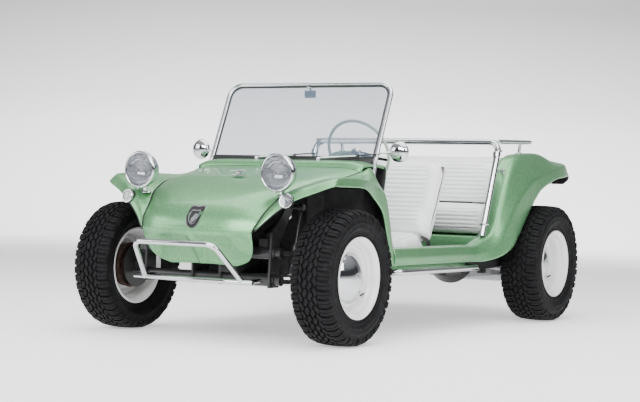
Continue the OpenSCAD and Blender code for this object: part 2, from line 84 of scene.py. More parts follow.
def mod(o, kind, **kw):
    m = o.modifiers.new(kind.lower(), kind)
    for k, v in kw.items():
        setattr(m, k, v)
    return m


def auto_smooth(o, angle=35):
    """Sharp edges above an angle, smooth elsewhere."""
    me = o.data
    bm = bmesh.new()
    bm.from_mesh(me)
    for e in bm.edges:
        if len(e.link_faces) == 2:
            e.smooth = e.calc_face_angle(0) < math.radians(angle)
    for f in bm.faces:
        f.smooth = True
    bm.to_mesh(me)
    bm.free()


def cr(a, b, c, d, t):
    return 0.5 * ((2 * b) + (c - a) * t + (2 * a - 5 * b + 4 * c - d) * t * t + (3 * b - a - 3 * c + d) * t * t * t)


def smooth_row(P, k):
    P = [Vector(p) for p in P]
    out = []
    for i in range(len(P) - 1):
        a, b, c, d = P[max(i - 1, 0)], P[i], P[i + 1], P[min(i + 2, len(P) - 1)]
        for s in range(k):
            out.append(cr(a, b, c, d, s / k))
    out.append(P[-1])
    return out


def fine(G, ku, kv):
    A = [smooth_row(r, kv) for r in G]
    B = [smooth_row([A[i][j] for i in range(len(A))], ku) for j in range(len(A[0]))]
    return [[B[j][i] for j in range(len(B))] for i in range(len(B[0]))]


def grid_faces(n, m, flip=False):
    out = []
    for i in range(n - 1):
        for j in range(m - 1):
            q = (i * m + j, (i + 1) * m + j, (i + 1) * m + j + 1, i * m + j + 1)
            out.append(q[::-1] if flip else q)
    return out


def mirror_pts(G):
    return [[Vector((-p[0], p[1], p[2])) for p in r] for r in G]


def unit(v):
    return v.normalized() if v.length > 1e-9 else Vector((0, 0, 1))


def bends(P, R, k):
    P = [Vector(p) for p in P]
    out = [P[0]]
    for i in range(1, len(P) - 1):
        a, p, b = P[i - 1], P[i], P[i + 1]
        u, v = unit(a - p), unit(b - p)
        ang = math.acos(max(-1, min(1, u.dot(v))))
        q = R / math.tan(ang / 2)
        c = p + unit(u + v) * (R / math.sin(ang / 2))
        x = unit(p + u * q - c)
        e = unit(p + v * q - c)
        y = unit(e - x * x.dot(e))
        tot = math.pi - ang
        for s in range(k + 1):
            t = tot * s / k
            out.append(c + (x * math.cos(t) + y * math.sin(t)) * R)
    out.append(P[-1])
    return out


def sweep(path, r, sides=24, closed=False, cap=True, radii=None, up=None):
    """Vertices and faces of a round tube swept along a path of points in mm."""
    n = len(path)
    verts, faces = [], []
    w = None
    for i in range(n):
        a = path[(i - 1) % n] if closed else path[max(i - 1, 0)]
        b = path[(i + 1) % n] if closed else path[min(i + 1, n - 1)]
        d = unit(b - a)
        if w is None:
            w = up or (Vector((0, 0, 1)) if abs(d.z) < 0.9 else Vector((1, 0, 0)))
        e1 = unit(w - d * d.dot(w))
        w = e1
        e2 = d.cross(e1)
        rr = radii[i] if radii else r
        for j in range(sides):
            t = 2 * math.pi * j / sides
            verts.append(path[i] + (e1 * math.cos(t) + e2 * math.sin(t)) * rr)
    for i in range(n if closed else n - 1):
        for j in range(sides):
            k = (j + 1) % sides
            i2 = (i + 1) % n
            faces.append((i * sides + j, i * sides + k, i2 * sides + k, i2 * sides + j))
    if cap and not closed:
        faces.append(tuple(range(sides))[::-1])
        faces.append(tuple((n - 1) * sides + j for j in range(sides)))
    return verts, faces


class Mesh:
    """Collects several closed shapes into one mesh, in mm."""

    def __init__(self):
        self.v, self.f, self.mi = [], [], []

    def add(self, verts, faces, mi=0):
        o = len(self.v)
        self.v += [Vector(p) for p in verts]
        self.f += [tuple(o + i for i in q) for q in faces]
        self.mi += [mi] * len(faces)
        return self

    def tube(self, pts, r, R=0, k=8, sides=24, mi=0, radii=None, smooth_k=0):
        path = bends(pts, R, k) if R else [Vector(p) for p in pts]
        if smooth_k:
            path = smooth_row(pts, smooth_k)
        v, f = sweep(path, r, sides, radii=radii)
        return self.add(v, f, mi)

    def lathe(self, prof, origin, axis, n=64, mi=0, closed=False, arc=None):
        """prof: (radius, height along axis) pairs from one end to the other."""
        ax = unit(Vector(axis))
        ref = Vector((0, 0, 1)) if abs(ax.z) < 0.9 else Vector((1, 0, 0))
        e1 = unit(ref - ax * ref.dot(ax))
        e2 = ax.cross(e1)
        o = Vector(origin)
        verts, faces = [], []
        m = len(prof)
        for i in range(n):
            t = 2 * math.pi * i / n
            d = e1 * math.cos(t) + e2 * math.sin(t)
            for r, h in prof:
                verts.append(o + d * r + ax * h)
        seg = m if closed else m - 1
        for i in range(n):
            i2 = (i + 1) % n
            for j in range(seg):
                j2 = (j + 1) % m
                faces.append((i * m + j, i2 * m + j, i2 * m + j2, i * m + j2))
        return self.add(verts, faces, mi)

    def box(self, lo, hi, r=0.0, mi=0, rot=None, about=None, seg=2):
        bm = bmesh.new()
        bmesh.ops.create_cube(bm, size=1)
        lo, hi = Vector(lo), Vector(hi)
        c, s = (lo + hi) / 2, hi - lo
        for v in bm.verts:
            v.co = Vector((v.co.x * s.x, v.co.y * s.y, v.co.z * s.z)) + c
        if r > 0:
            bmesh.ops.bevel(bm, geom=bm.edges[:], offset=min(r, min(s) * 0.45), segments=seg, affect="EDGES", profile=0.5)
        if rot is not None:
            a = Vector(about) if about else c
            M = Matrix.Translation(a) @ rot.to_4x4() @ Matrix.Translation(-a)
            bm.transform(M)
        bm.verts.ensure_lookup_table()
        vs = [v.co.copy() for v in bm.verts]
        fs = [tuple(v.index for v in f.verts) for f in bm.faces]
        bm.free()
        return self.add(vs, fs, mi)

    def both(self, m=1):
        """Adds the mirror image about X = 0."""
        o = len(self.v)
        self.v += [Vector((-p.x, p.y, p.z)) for p in self.v]
        self.f += [tuple(o + i for i in q)[::-1] for q in self.f]
        self.mi += self.mi[:]
        return self

    def obj(self, name, mat, body="chassis", mats=None, sharp=35, recalc=True):
        me = bpy.data.meshes.new(name)
        me.from_pydata([tuple(V(p)) for p in self.v], [], self.f)
        for m in (mats or [mat]):
            me.materials.append(m)
        if len(self.mi) == len(me.polygons):
            me.polygons.foreach_set("material_index", self.mi)
        if recalc:
            bm = bmesh.new()
            bm.from_mesh(me)
            bmesh.ops.remove_doubles(bm, verts=bm.verts[:], dist=1e-6)
            bmesh.ops.dissolve_degenerate(bm, dist=1e-7, edges=bm.edges[:])
            bmesh.ops.recalc_face_normals(bm, faces=bm.faces[:])
            bm.to_mesh(me)
            bm.free()
        o = link(bpy.data.objects.new(name, me))
        if sharp:
            auto_smooth(o, sharp)
        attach(o, body)
        return o


# ---------------------------------------------------------------- materials
def new_mat(name):
    m = bpy.data.materials.new(name)
    m.use_nodes = True
    nt = m.node_tree
    return m, nt, nt.nodes["Principled BSDF"]


def N(nt, kind, **kw):
    n = nt.nodes.new(kind)
    for k, v in kw.items():
        if k in n.inputs:
            n.inputs[k].default_value = v
        else:
            setattr(n, k, v)
    return n


def coords(nt):
    return N(nt, "ShaderNodeTexCoord").outputs["Object"]


def noise(nt, scale, detail=3.0, rough=0.5, vec=None):
    n = N(nt, "ShaderNodeTexNoise")
    n.inputs["Scale"].default_value = scale
    n.inputs["Detail"].default_value = detail
    n.inputs["Roughness"].default_value = rough
    nt.links.new(vec or coords(nt), n.inputs["Vector"])
    return n.outputs["Fac"]


def ramp(nt, fac, stops):
    r = N(nt, "ShaderNodeValToRGB")
    while len(r.color_ramp.elements) < len(stops):
        r.color_ramp.elements.new(0.5)
    for e, (p, c) in zip(r.color_ramp.elements, stops):
        e.position = p
        e.color = (*c, 1) if len(c) == 3 else c
    nt.links.new(fac, r.inputs["Fac"])
    return r.outputs["Color"]


def bump(nt, bsdf, height, strength=0.3, distance=0.001, chain=None):
    b = N(nt, "ShaderNodeBump")
    b.inputs["Strength"].default_value = strength
    b.inputs["Distance"].default_value = distance
    nt.links.new(height, b.inputs["Height"])
    if chain is not None:
        nt.links.new(chain, b.inputs["Normal"])
    nt.links.new(b.outputs["Normal"], bsdf.inputs["Normal"])
    return b.outputs["Normal"]


def mapped(nt, fac, lo, hi, a=0.0, b=1.0):
    m = N(nt, "ShaderNodeMapRange")
    m.inputs["From Min"].default_value = a
    m.inputs["From Max"].default_value = b
    m.inputs["To Min"].default_value = lo
    m.inputs["To Max"].default_value = hi
    nt.links.new(fac, m.inputs["Value"])
    return m.outputs["Result"]


def gelcoat():
    """Green metal-flake gelcoat under a clear coat."""
    m, nt, b = new_mat("green_flake_gelcoat")
    co = coords(nt)
    vor = N(nt, "ShaderNodeTexVoronoi")
    vor.inputs["Scale"].default_value = 620.0
    nt.links.new(co, vor.inputs["Vector"])
    sep = N(nt, "ShaderNodeSeparateColor")
    nt.links.new(vor.outputs["Color"], sep.inputs["Color"])
    flake = ramp(nt, sep.outputs["Red"], [(0.0, (0.085, 0.270, 0.112)), (0.5, (0.118, 0.335, 0.146)), (0.86, (0.165, 0.410, 0.192)), (1.0, (0.44, 0.68, 0.44))])
    big = ramp(nt, noise(nt, 3.0, 2.0), [(0.35, (0.93, 0.95, 0.93)), (0.65, (1.04, 1.04, 1.02))])
    mix = N(nt, "ShaderNodeMix", data_type="RGBA", blend_type="MULTIPLY")
    mix.inputs[0].default_value = 1.0
    nt.links.new(flake, mix.inputs[6])
    nt.links.new(big, mix.inputs[7])
    nt.links.new(mix.outputs[2], b.inputs["Base Color"])
    nt.links.new(mapped(nt, sep.outputs["Green"], 0.30, 0.52), b.inputs["Roughness"])
    b.inputs["Metallic"].default_value = 0.72
    b.inputs["Coat Weight"].default_value = 0.38
    b.inputs["Coat Roughness"].default_value = 0.04
    b.inputs["Coat IOR"].default_value = 1.5
    bump(nt, b, sep.outputs["Blue"], 0.10, 0.0004)
    return m


def plain(name, color, rough=0.4, metallic=0.0, coat=0.0, var=0.12, scale=40.0, bump_s=0.05, bump_scale=300.0, rvar=0.12, ior=None, dist=0.0005):
    m, nt, b = new_mat(name)
    f = noise(nt, scale, 4.0, 0.6)
    lo = tuple(max(0.0, c * (1 - var)) for c in color)
    hi = tuple(min(1.0, c * (1 + var)) for c in color)
    nt.links.new(ramp(nt, f, [(0.3, lo), (0.7, hi)]), b.inputs["Base Color"])
    nt.links.new(mapped(nt, noise(nt, scale * 2.3, 3.0), max(0.02, rough - rvar), min(1.0, rough + rvar), 0.3, 0.7), b.inputs["Roughness"])
    b.inputs["Metallic"].default_value = metallic
    b.inputs["Coat Weight"].default_value = coat
    b.inputs["Coat Roughness"].default_value = 0.05
    if ior:
        b.inputs["IOR"].default_value = ior
    if bump_s:
        bump(nt, b, noise(nt, bump_scale, 2.0), bump_s, dist)
    return m


def chrome_mat(name="bright_chrome", tint=(0.60, 0.61, 0.63), rough=0.04):
    m, nt, b = new_mat(name)
    f = noise(nt, 25.0, 3.0)
    nt.links.new(ramp(nt, f, [(0.3, tuple(c * 0.97 for c in tint)), (0.7, tint)]), b.inputs["Base Color"])
    nt.links.new(mapped(nt, noise(nt, 60.0, 4.0), rough * 0.7, rough * 1.6, 0.3, 0.7), b.inputs["Roughness"])
    b.inputs["Metallic"].default_value = 1.0
    bump(nt, b, noise(nt, 35.0, 1.0), 0.02, 0.0004)
    return m


def glass_mat(name, color, alpha_mix, rough=0.02):
    """Thin pane: mostly clear, with a gloss film over it."""
    m = bpy.data.materials.new(name)
    m.use_nodes = True
    nt = m.node_tree
    b = nt.nodes["Principled BSDF"]
    nt.links.new(ramp(nt, noise(nt, 4.0, 2.0), [(0.3, tuple(c * 0.97 for c in color)), (0.7, color)]), b.inputs["Base Color"])
    b.inputs["Roughness"].default_value = rough
    b.inputs["Alpha"].default_value = alpha_mix
    b.inputs["Specular IOR Level"].default_value = 0.6
    b.inputs["Coat Weight"].default_value = 0.3
    m.blend_method = "BLEND"
    return m


def vinyl_mat():
    m, nt, b = new_mat("white_vinyl")
    co = coords(nt)
    vor = N(nt, "ShaderNodeTexVoronoi", feature="DISTANCE_TO_EDGE")
    vor.inputs["Scale"].default_value = 420.0
    nt.links.new(co, vor.inputs["Vector"])
    nt.links.new(ramp(nt, noise(nt, 9.0, 3.0), [(0.3, (0.86, 0.87, 0.88)), (0.7, (0.92, 0.93, 0.94))]), b.inputs["Base Color"])
    nt.links.new(mapped(nt, noise(nt, 50.0, 3.0), 0.34, 0.48, 0.3, 0.7), b.inputs["Roughness"])
    b.inputs["Sheen Weight"].default_value = 0.15
    b.inputs["Sheen Roughness"].default_value = 0.5
    b.inputs["Subsurface Weight"].default_value = 0.0
    n1 = bump(nt, b, vor.outputs["Distance"], 0.10, 0.0005)
    bump(nt, b, noise(nt, 14.0, 3.0), 0.12, 0.002, chain=n1)
    return m


def rubber_mat():
    m, nt, b = new_mat("tyre_rubber")
    nt.links.new(ramp(nt, noise(nt, 22.0, 5.0, 0.6), [(0.3, (0.004, 0.004, 0.0045)), (0.7, (0.010, 0.010, 0.011))]), b.inputs["Base Color"])
    nt.links.new(mapped(nt, noise(nt, 60.0, 4.0), 0.50, 0.72, 0.3, 0.7), b.inputs["Roughness"])
    b.inputs["Specular IOR Level"].default_value = 0.12
    bump(nt, b, noise(nt, 700.0, 3.0), 0.25, 0.0004)
    return m


GREEN = gelcoat()
DARKGREEN = plain("green_gelcoat_inside", (0.10, 0.22, 0.115), 0.4, 0.1, 0.3)
CHROME = chrome_mat()
ALU = chrome_mat("polished_aluminium", (0.72, 0.74, 0.77), 0.16)
BLACK = plain("black_satin_steel", (0.012, 0.012, 0.013), 0.38, 0.0, 0.15, 0.3, 30, 0.08, 200)
UNDER = plain("black_underside", (0.010, 0.010, 0.011), 0.72, 0, 0, 0.35, 18, 0.3, 90)
BLKPL = plain("black_plastic", (0.016, 0.016, 0.018), 0.42, 0, 0, 0.2, 60, 0.10, 400)
GASKET = plain("black_rubber_trim", (0.010, 0.010, 0.011), 0.55, 0, 0, 0.2, 60, 0.06, 300)
VINYL = vinyl_mat()
RUBBER = rubber_mat()
WHITE = plain("white_rim_paint", (0.80, 0.80, 0.79), 0.22, 0.0, 0.6, 0.03, 12, 0.03, 120, 0.05)
STEEL = plain("bare_steel", (0.42, 0.42, 0.44), 0.32, 1.0, 0, 0.12, 30, 0.10, 240)
CAST = plain("cast_alloy", (0.40, 0.40, 0.41), 0.5, 0.9, 0, 0.18, 25, 0.35, 350)
DRUM = plain("rusty_drum", (0.055, 0.030, 0.022), 0.75, 0.2, 0, 0.45, 40, 0.4, 200)
BLUE = plain("blue_bush", (0.02, 0.16, 0.42), 0.4)
PALE = plain("pale_rim_plastic", (0.42, 0.50, 0.42), 0.25, 0, 0.5, 0.05)
GLASS = glass_mat("windshield_glass", (0.16, 0.22, 0.30), 0.34)
LENS = glass_mat("clear_lens", (0.22, 0.23, 0.25), 0.34)
REDL = plain("red_lens", (0.45, 0.012, 0.010), 0.12, 0, 0.8, 0.1)
BELT = plain("black_webbing", (0.012, 0.012, 0.013), 0.7, 0, 0, 0.2, 200, 0.4, 900)
MIRROR = chrome_mat("mirror_face", (0.55, 0.57, 0.60), 0.03)

# ---------------------------------------------------------------- camera and stage
cam_data = bpy.data.cameras.new("camera")
cam = link(bpy.data.objects.new("camera", cam_data))
A, E, ROLL = math.radians(30.938), math.radians(0.384), math.radians(1.656)
back = Vector((math.sin(A) * math.cos(E), -math.cos(A) * math.cos(E), math.sin(E)))
right = Vector((math.cos(A), math.sin(A), 0))
up = back.cross(right)
r2 = right * math.cos(ROLL) + up * math.sin(ROLL)
u2 = -right * math.sin(ROLL) + up * math.cos(ROLL)
M = Matrix((r2, u2, back)).transposed().to_4x4()
M.translation = Vector((4.596, -6.778 - YC / 1000.0, 0.780))
cam.matrix_world = M
cam_data.sensor_width = 36.0
cam_data.lens = 1556.0 / 640.0 * 36.0
cam_data.clip_start, cam_data.clip_end = 0.1, 200
bpy.context.scene.camera = cam


def stage():
    m, nt, b = new_mat("studio_floor")
    hz = N(nt, "ShaderNodeSeparateXYZ")
    nt.links.new(coords(nt), hz.inputs["Vector"])
    h01 = mapped(nt, hz.outputs["Z"], 0.0, 1.0, 0.0, 6.0)
    # painted shade: the base colour darkens with height up the far wall
    shade = ramp(nt, h01, [(0.0, (1.0, 1.0, 1.0)), (0.32, (0.92, 0.92, 0.92)), (0.48, (0.72, 0.72, 0.72)), (0.75, (0.42, 0.42, 0.42))])
    mx = N(nt, "ShaderNodeMix", data_type="RGBA", blend_type="MULTIPLY")
    mx.inputs[0].default_value = 1.0
    nt.links.new(ramp(nt, noise(nt, 0.6, 2.0), [(0.3, (0.92, 0.92, 0.92)), (0.7, (0.95, 0.95, 0.95))]), mx.inputs[6])
    nt.links.new(shade, mx.inputs[7])
    nt.links.new(mx.outputs[2], b.inputs["Base Color"])
    # painted light: the floor glows, strongest at the ground and fading out up the wall
    painted_floor_light = ramp(nt, h01, [(0.0, (1.0, 1.0, 1.0)), (0.10, (0.80, 0.80, 0.80)), (0.42, (0.0, 0.0, 0.0))])
    nt.links.new(painted_floor_light, b.inputs["Emission Color"])
    b.inputs["Emission Strength"].default_value = 0.62
    b.inputs["Roughness"].default_value = 0.55
    b.inputs["Specular IOR Level"].default_value = 0.15
    # floor that sweeps up into a far wall
    verts, faces = [], []
    prof = [(-30.0, 0.0), (-8.0, 0.0), (0.0, 0.0), (6.0, 0.0), (14.0, 0.0)]
    for i in range(1, 17):
        t = math.pi / 2 * i / 16
        prof.append((14.0 + 9.0 * math.sin(t), 9.0 - 9.0 * math.cos(t)))
    prof.append((23.0, 30.0))
    d = Vector((-math.sin(A), math.cos(A), 0))
    e = Vector((math.cos(A), math.sin(A), 0))
    for q, z in prof:
        for k in (-40.0, 40.0):
            p = d * q + e * k
            verts.append((p.x, p.y, z))
    for i in range(len(prof) - 1):
        faces.append((2 * i, 2 * i + 1, 2 * i + 3, 2 * i + 2))
    me = bpy.data.meshes.new("studio_floor")
    me.from_pydata(verts, [], faces)
    me.polygons.foreach_set("use_smooth", [True] * len(me.polygons))
    me.materials.append(m)
    o = link(bpy.data.objects.new("studio_floor", me))
    w = bpy.data.worlds.new("studio")
    bpy.context.scene.world = w
    w.use_nodes = True
    nt = w.node_tree
    bg = nt.nodes["Background"]
    tc = N(nt, "ShaderNodeTexCoord")
    sep = N(nt, "ShaderNodeSeparateXYZ")
    nt.links.new(tc.outputs["Generated"], sep.inputs["Vector"])
    col = ramp(nt, mapped(nt, sep.outputs["Z"], 0, 1, -0.02, 1.0), [(0.0, (0.92, 0.92, 0.92)), (0.05, (0.70, 0.70, 0.70)), (0.09, (0.10, 0.10, 0.11)), (0.26, (0.10, 0.10, 0.11)), (0.38, (0.42, 0.43, 0.45)), (0.62, (0.75, 0.76, 0.78)), (1.0, (1.1, 1.1, 1.1))])
    nt.links.new(col, bg.inputs["Color"])
    bg.inputs["Strength"].default_value = 0.72

    def area(name, loc, target, size, sy, power, color=(1, 1, 1)):
        d = bpy.data.lights.new(name, "AREA")
        d.shape = "RECTANGLE"
        d.size, d.size_y, d.energy, d.color = size, sy, power, color
        a = link(bpy.data.objects.new(name, d))
        a.location = loc
        a.rotation_euler = (Vector(target) - Vector(loc)).to_track_quat("-Z", "Y").to_euler()
        return a
    area("top_softbox", (0.3, -0.2, 4.2), (0, 0, 0), 4.2, 5.6, 260)
    area("key_softbox", (5.2, -2.2, 3.2), (0.2, 0.0, 0.6), 3.0, 2.2, 150)
    area("fill_softbox", (-4.6, -4.6, 2.6), (0, -0.8, 0.6), 3.0, 2.2, 110)
    area("floor_wash_front", (2.0, -8.5, 4.6), (0.6, -2.5, 0), 8.0, 3.0, 900)
    area("wall_wash", (-6.5, 12.0, 7.5), (-9.0, 18.0, 2.0), 16.0, 4.0, 2600)


stage()

# ---------------------------------------------------------------- fibreglass shell
FF = [
    [[352, -322, 566], [353, -319, 573], [349, -316, 576], [345, -318, 577]],
    [[410, -290, 630], [408, -284, 655], [384, -284, 650], [361, -290, 622]],
    [[480, -263, 693], [470, -250, 728], [424, -244, 714], [369, -250, 664]],
    [[540, -242, 730], [528, -220, 770], [464, -205, 764], [385, -200, 707]],
    [[602, -209, 759], [588, -178, 800], [500, -155, 796], [405, -148, 752]],
    [[698, -162, 799], [680, -124, 838], [560, -88, 828], [424, -84, 778]],
    [[706, -95, 800], [696, -62, 848], [574, -15, 844], [443, -25, 798]],
    [[706, 10, 800], [696, 30, 849], [590, 70, 851], [462, 60, 817]],
    [[702, 130, 799], [692, 150, 847], [602, 170, 855], [488, 185, 836]],
    [[684, 230, 786], [676, 258, 836], [606, 285, 850], [510, 300, 854]],
    [[662, 330, 750], [656, 362, 810], [602, 400, 842], [530, 418, 885]],
    [[654, 408, 710], [648, 440, 793], [600, 480, 832], [544, 508, 905]],
    [[651, 465, 660], [644, 505, 755], [600, 546, 775], [552, 566, 800]],
    [[650, 507, 566], [643, 549, 650], [602, 580, 655], [556, 590, 660]],
    [[650, 552, 455], [643, 592, 505], [604, 606, 505], [560, 610, 505]],
    [[650, 586, 384], [646, 630, 384], [606, 636, 384], [566, 638, 384]]]
HC = [[-240, 390], [-262, 412], [-310, 470], [-378, 549], [-373, 590], [-350, 640], [-300, 692], [-220, 742], [-120, 786], [0, 826], [60, 844], [200, 872], [310, 892], [420, 907]]
HE = [[205, -246, 386], [285, -262, 415], [325, -292, 472], [338, -326, 553], [342, -321, 576], [358, -293, 621], [366, -253, 662], [382, -203, 705], [402, -151, 750], [440, -28, 796], [459, 58, 815], [485, 184, 834], [507, 300, 852], [526, 418, 883]]
HP = [2, 2, 2.4, 3, 3.4, 4, 4.6, 5.5, 8, 9, 10, 11, 11, 11]
CK = [[423, 906, 527], [430, 926, 532], [444, 938, 536], [500, 946, 542], [560, 947, 545], [640, 940, 545], [668, 926, 545], [676, 890, 545], [664, 800, 542]]
RF = [
    [[652, 1606, 384], [653, 1606, 430], [640, 1606, 478], [590, 1606, 484]],
    [[676, 1700, 387], [672, 1692, 450], [650, 1688, 500], [590, 1694, 510]],
    [[722, 1799, 411], [706, 1790, 490], [664, 1788, 562], [592, 1824, 562]],
    [[748, 1919, 459], [734, 1882, 600], [678, 1848, 690], [594, 1886, 700]],
    [[752, 2017, 543], [745, 1975, 720], [684, 1902, 800], [594, 1930, 808]],
    [[754, 2117, 646], [750, 2086, 810], [688, 1958, 890], [594, 1968, 894]],
    [[756, 2218, 742], [752, 2202, 876], [684, 2028, 970], [594, 2014, 960]],
    [[760, 2325, 822], [754, 2310, 903], [676, 2130, 1034], [592, 2088, 1014]],
    [[762, 2457, 868], [756, 2440, 932], [668, 2268, 1054], [590, 2210, 1042]],
    [[762, 2570, 896], [755, 2560, 956], [668, 2480, 1057], [590, 2420, 1052]],
    [[757, 2690, 908], [748, 2680, 978], [672, 2620, 1024], [590, 2590, 1034]],
    [[742, 2790, 918], [733, 2765, 990], [676, 2760, 1012], [590, 2760, 1012]],
    [[730, 2850, 920], [720, 2812, 984], [676, 2868, 994], [590, 2880, 990]],
    [[716, 2884, 914], [706, 2898, 902], [672, 2906, 869], [590, 2906, 869]]]


def section(row, fil, ks=5, kf=6):
    """A control row as straight runs joined by round corners; fil is each inner corner's reach."""
    P = [Vector(p) for p in row]
    n = len(P)
    out = []
    start = P[0]
    for i in range(1, n):
        last = i == n - 1
        d = 0 if last else min(fil[i - 1], 0.48 * (P[i] - P[i - 1]).length, 0.48 * (P[i + 1] - P[i]).length)
        end = P[i] - unit(P[i] - P[i - 1]) * d
        for s in range(ks):
            out.append(start.lerp(end, s / ks))
        if last:
            out.append(end)
            break
        nxt = P[i] + unit(P[i + 1] - P[i]) * d
        for s in range(kf):
            t = s / kf
            out.append(end * (1 - t) ** 2 + P[i] * 2 * t * (1 - t) + nxt * t * t)
        start = nxt
    return out


def lengthwise(G, k):
    cols = [smooth_row([G[i][j] for i in range(len(G))], k) for j in range(len(G[0]))]
    return [[cols[j][i] for j in range(len(cols))] for i in range(len(cols[0]))]


def shell_piece(name, G, node, flip, thickness=6.0, inner=None, bevel=1.2):
    n, m = len(G), len(G[0])
    verts = [V(p) for r in G for p in r]
    o = make(name, verts, grid_faces(n, m, flip), GREEN, "chassis", True, [GREEN, inner or UNDER])
    mod(o, "SOLIDIFY", thickness=thickness / 1000.0, offset=-1.0, material_offset=1, material_offset_rim=0, use_even_offset=False)
    if node:
        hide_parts(*node)
    return o


def front_fender(side):
    G = lengthwise([section(r, (15, 70)) for r in FF], 7)
    if side < 0:
        G = mirror_pts(G)
    return shell_piece("front_fender_shell_" + ("left" if side > 0 else "right"), G, ["front_fender_left" if side > 0 else "front_fender_right"], side < 0)


def rear_fender(side):
    sill = [[[650, y, 384], [653, y, 430], [640, y, 478], [590, y, 484]] for y in (608, 760, 960, 1160, 1360, 1500)]
    rows = sill + RF
    fil = [(12, 12)] * len(sill) + [(13, 13), (16, 16), (22, 26), (26, 34)] + [(24, 38)] * 2 + [(20, 36), (14, 34), (12, 34)] + [(12, 34), (12, 32), (12, 28), (11, 24), (9, 14)]
    G = lengthwise([section(r, f, 6, 6) for r, f in zip(rows, fil)], 6)
    if side < 0:
        G = mirror_pts(G)
    return shell_piece("rear_fender_shell_" + ("left" if side > 0 else "right"), G, ["rear_fender_left" if side > 0 else "rear_fender_right"], side < 0)


def bell(x, w):
    return math.exp(-(x / w) ** 2)


def step(x, a, b):
    t = max(0.0, min(1.0, (x - a) / (b - a)))
    return t * t * (3 - 2 * t)


def hood():
    ts = []
    for i in range(61):
        t = -1 + 2 * i / 60
        ts.append(math.copysign(1 - (1 - abs(t)) ** 1.25, t))
    hc = smooth_row([Vector((0, a, b)) for a, b in HC], 8)
    he = smooth_row(HE, 8)
    hp = smooth_row([Vector((p, 0, 0)) for p in HP], 8)
    G = []
    for c, e, p in zip(hc, he, hp):
        row = []
        for t in ts:
            w = abs(t) ** p.x
            q = Vector((e.x * t, c.y + (e.y - c.y) * w, c.z + (e.z - c.z) * w))
            # pressed recess and a centre rib in the panel under the crease
            if q.z < 548 and q.y < -220:
                inside = step(548 - q.z, 8, 26) * step(q.z, 398, 418) * (1 - step(abs(q.x), 205, 232))
                rib = bell(q.x + 8, 15) * step(548 - q.z, 0, 30)
                q.y += 9.0 * inside * (1 - bell(q.x + 8, 26)) - 13.0 * rib
            row.append(q)
        G.append(row)
    return shell_piece("hood_and_nose_shell", G, ["hood_cover"], True)


def cowl():
    ts = [-1 + 2 * i / 48 for i in range(49)]
    rows = smooth_row([Vector(k) for k in CK], 6)
    G = [[Vector((k.z * t, k.x, k.y - (28 if k.x < 650 else 12) * abs(t) ** 12)) for t in ts] for k in rows]
    return shell_piece("cowl_and_dash_shell", G, ["cowl_and_dash"], True, inner=UNDER)


def seams():
    M_ = Mesh()
    e = smooth_row(HE[3:], 8)
    M_.add(*sweep([p + Vector((1.5, -1.5, 1.0)) for p in e], 3.4, 10))
    # bead along the front edge of each fender near the nose
    a = smooth_row([r[0] for r in FF[:3]], 8)
    M_.add(*sweep(a, 3.0, 10))
    M_.both()
    # joint between the hood's rear edge and the cowl
    M_.add(*sweep([Vector((x, 421.5, 906 - 26 * abs(x / 527) ** 11)) for x in [i * 524 / 24 for i in range(-24, 25)]], 2.6, 8))
    M_.obj("hood_seam_beading", GASKET, sharp=0)


def sills_inner():
    M_ = Mesh()
    M_.box((580, 642, 342), (586, 1700, 480), 1.5)
    M_.both()
    o = M_.obj("sill_inner_walls", GREEN)
    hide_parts("side_sills")


def rear_tub():
    """Bench base, bulkhead, deck and tail skin as one sheet, with a wall on each side."""
    line = [(0, 1900, 342), (0, 1930, 528), (0, 2196, 536), (0, 2268, 1010), (0, 2300, 1022), (0, 2560, 1002), (0, 2830, 978), (0, 2880, 962), (0, 2900, 930), (0, 2904, 869)]
    path = bends(line, 15, 5)
    xs = [-583 + 1166 * i / 24 for i in range(25)]
    shell_piece("rear_deck_sheet", [[Vector((x, p.y, p.z)) for p in path] for x in xs], ["rear_tub"], False, thickness=5.0)
    wall = [[1610, 342], [1610, 478], [1694, 504], [1824, 556], [1886, 694], [1930, 802], [1968, 888], [2014, 954], [2088, 1008], [2210, 1036]]
    tail = [[2420, 1046], [2590, 1028], [2760, 1006], [2870, 984], [2898, 950], [2898, 871], [2530, 871], [2440, 840], [2380, 770], [2240, 560], [2150, 342]]
    M_ = Mesh()
    for poly, a, b, mi in ((wall + [[2272, 1038], [2264, 1006], [2192, 536], [2150, 342]], 583, 586.2, 0), (wall + tail, 586.2, 589, 1)):
        n = len(poly)
        vs = [(a, y, z) for y, z in poly] + [(b, y, z) for y, z in poly]
        fs = [tuple(range(n))[::-1], tuple(range(n, 2 * n))] + [(k, (k + 1) % n, n + (k + 1) % n, n + k) for k in range(n)]
        M_.add(vs, fs, mi)
    M_.both()
    o = M_.obj("rear_side_walls", GREEN, mats=[GREEN, UNDER])


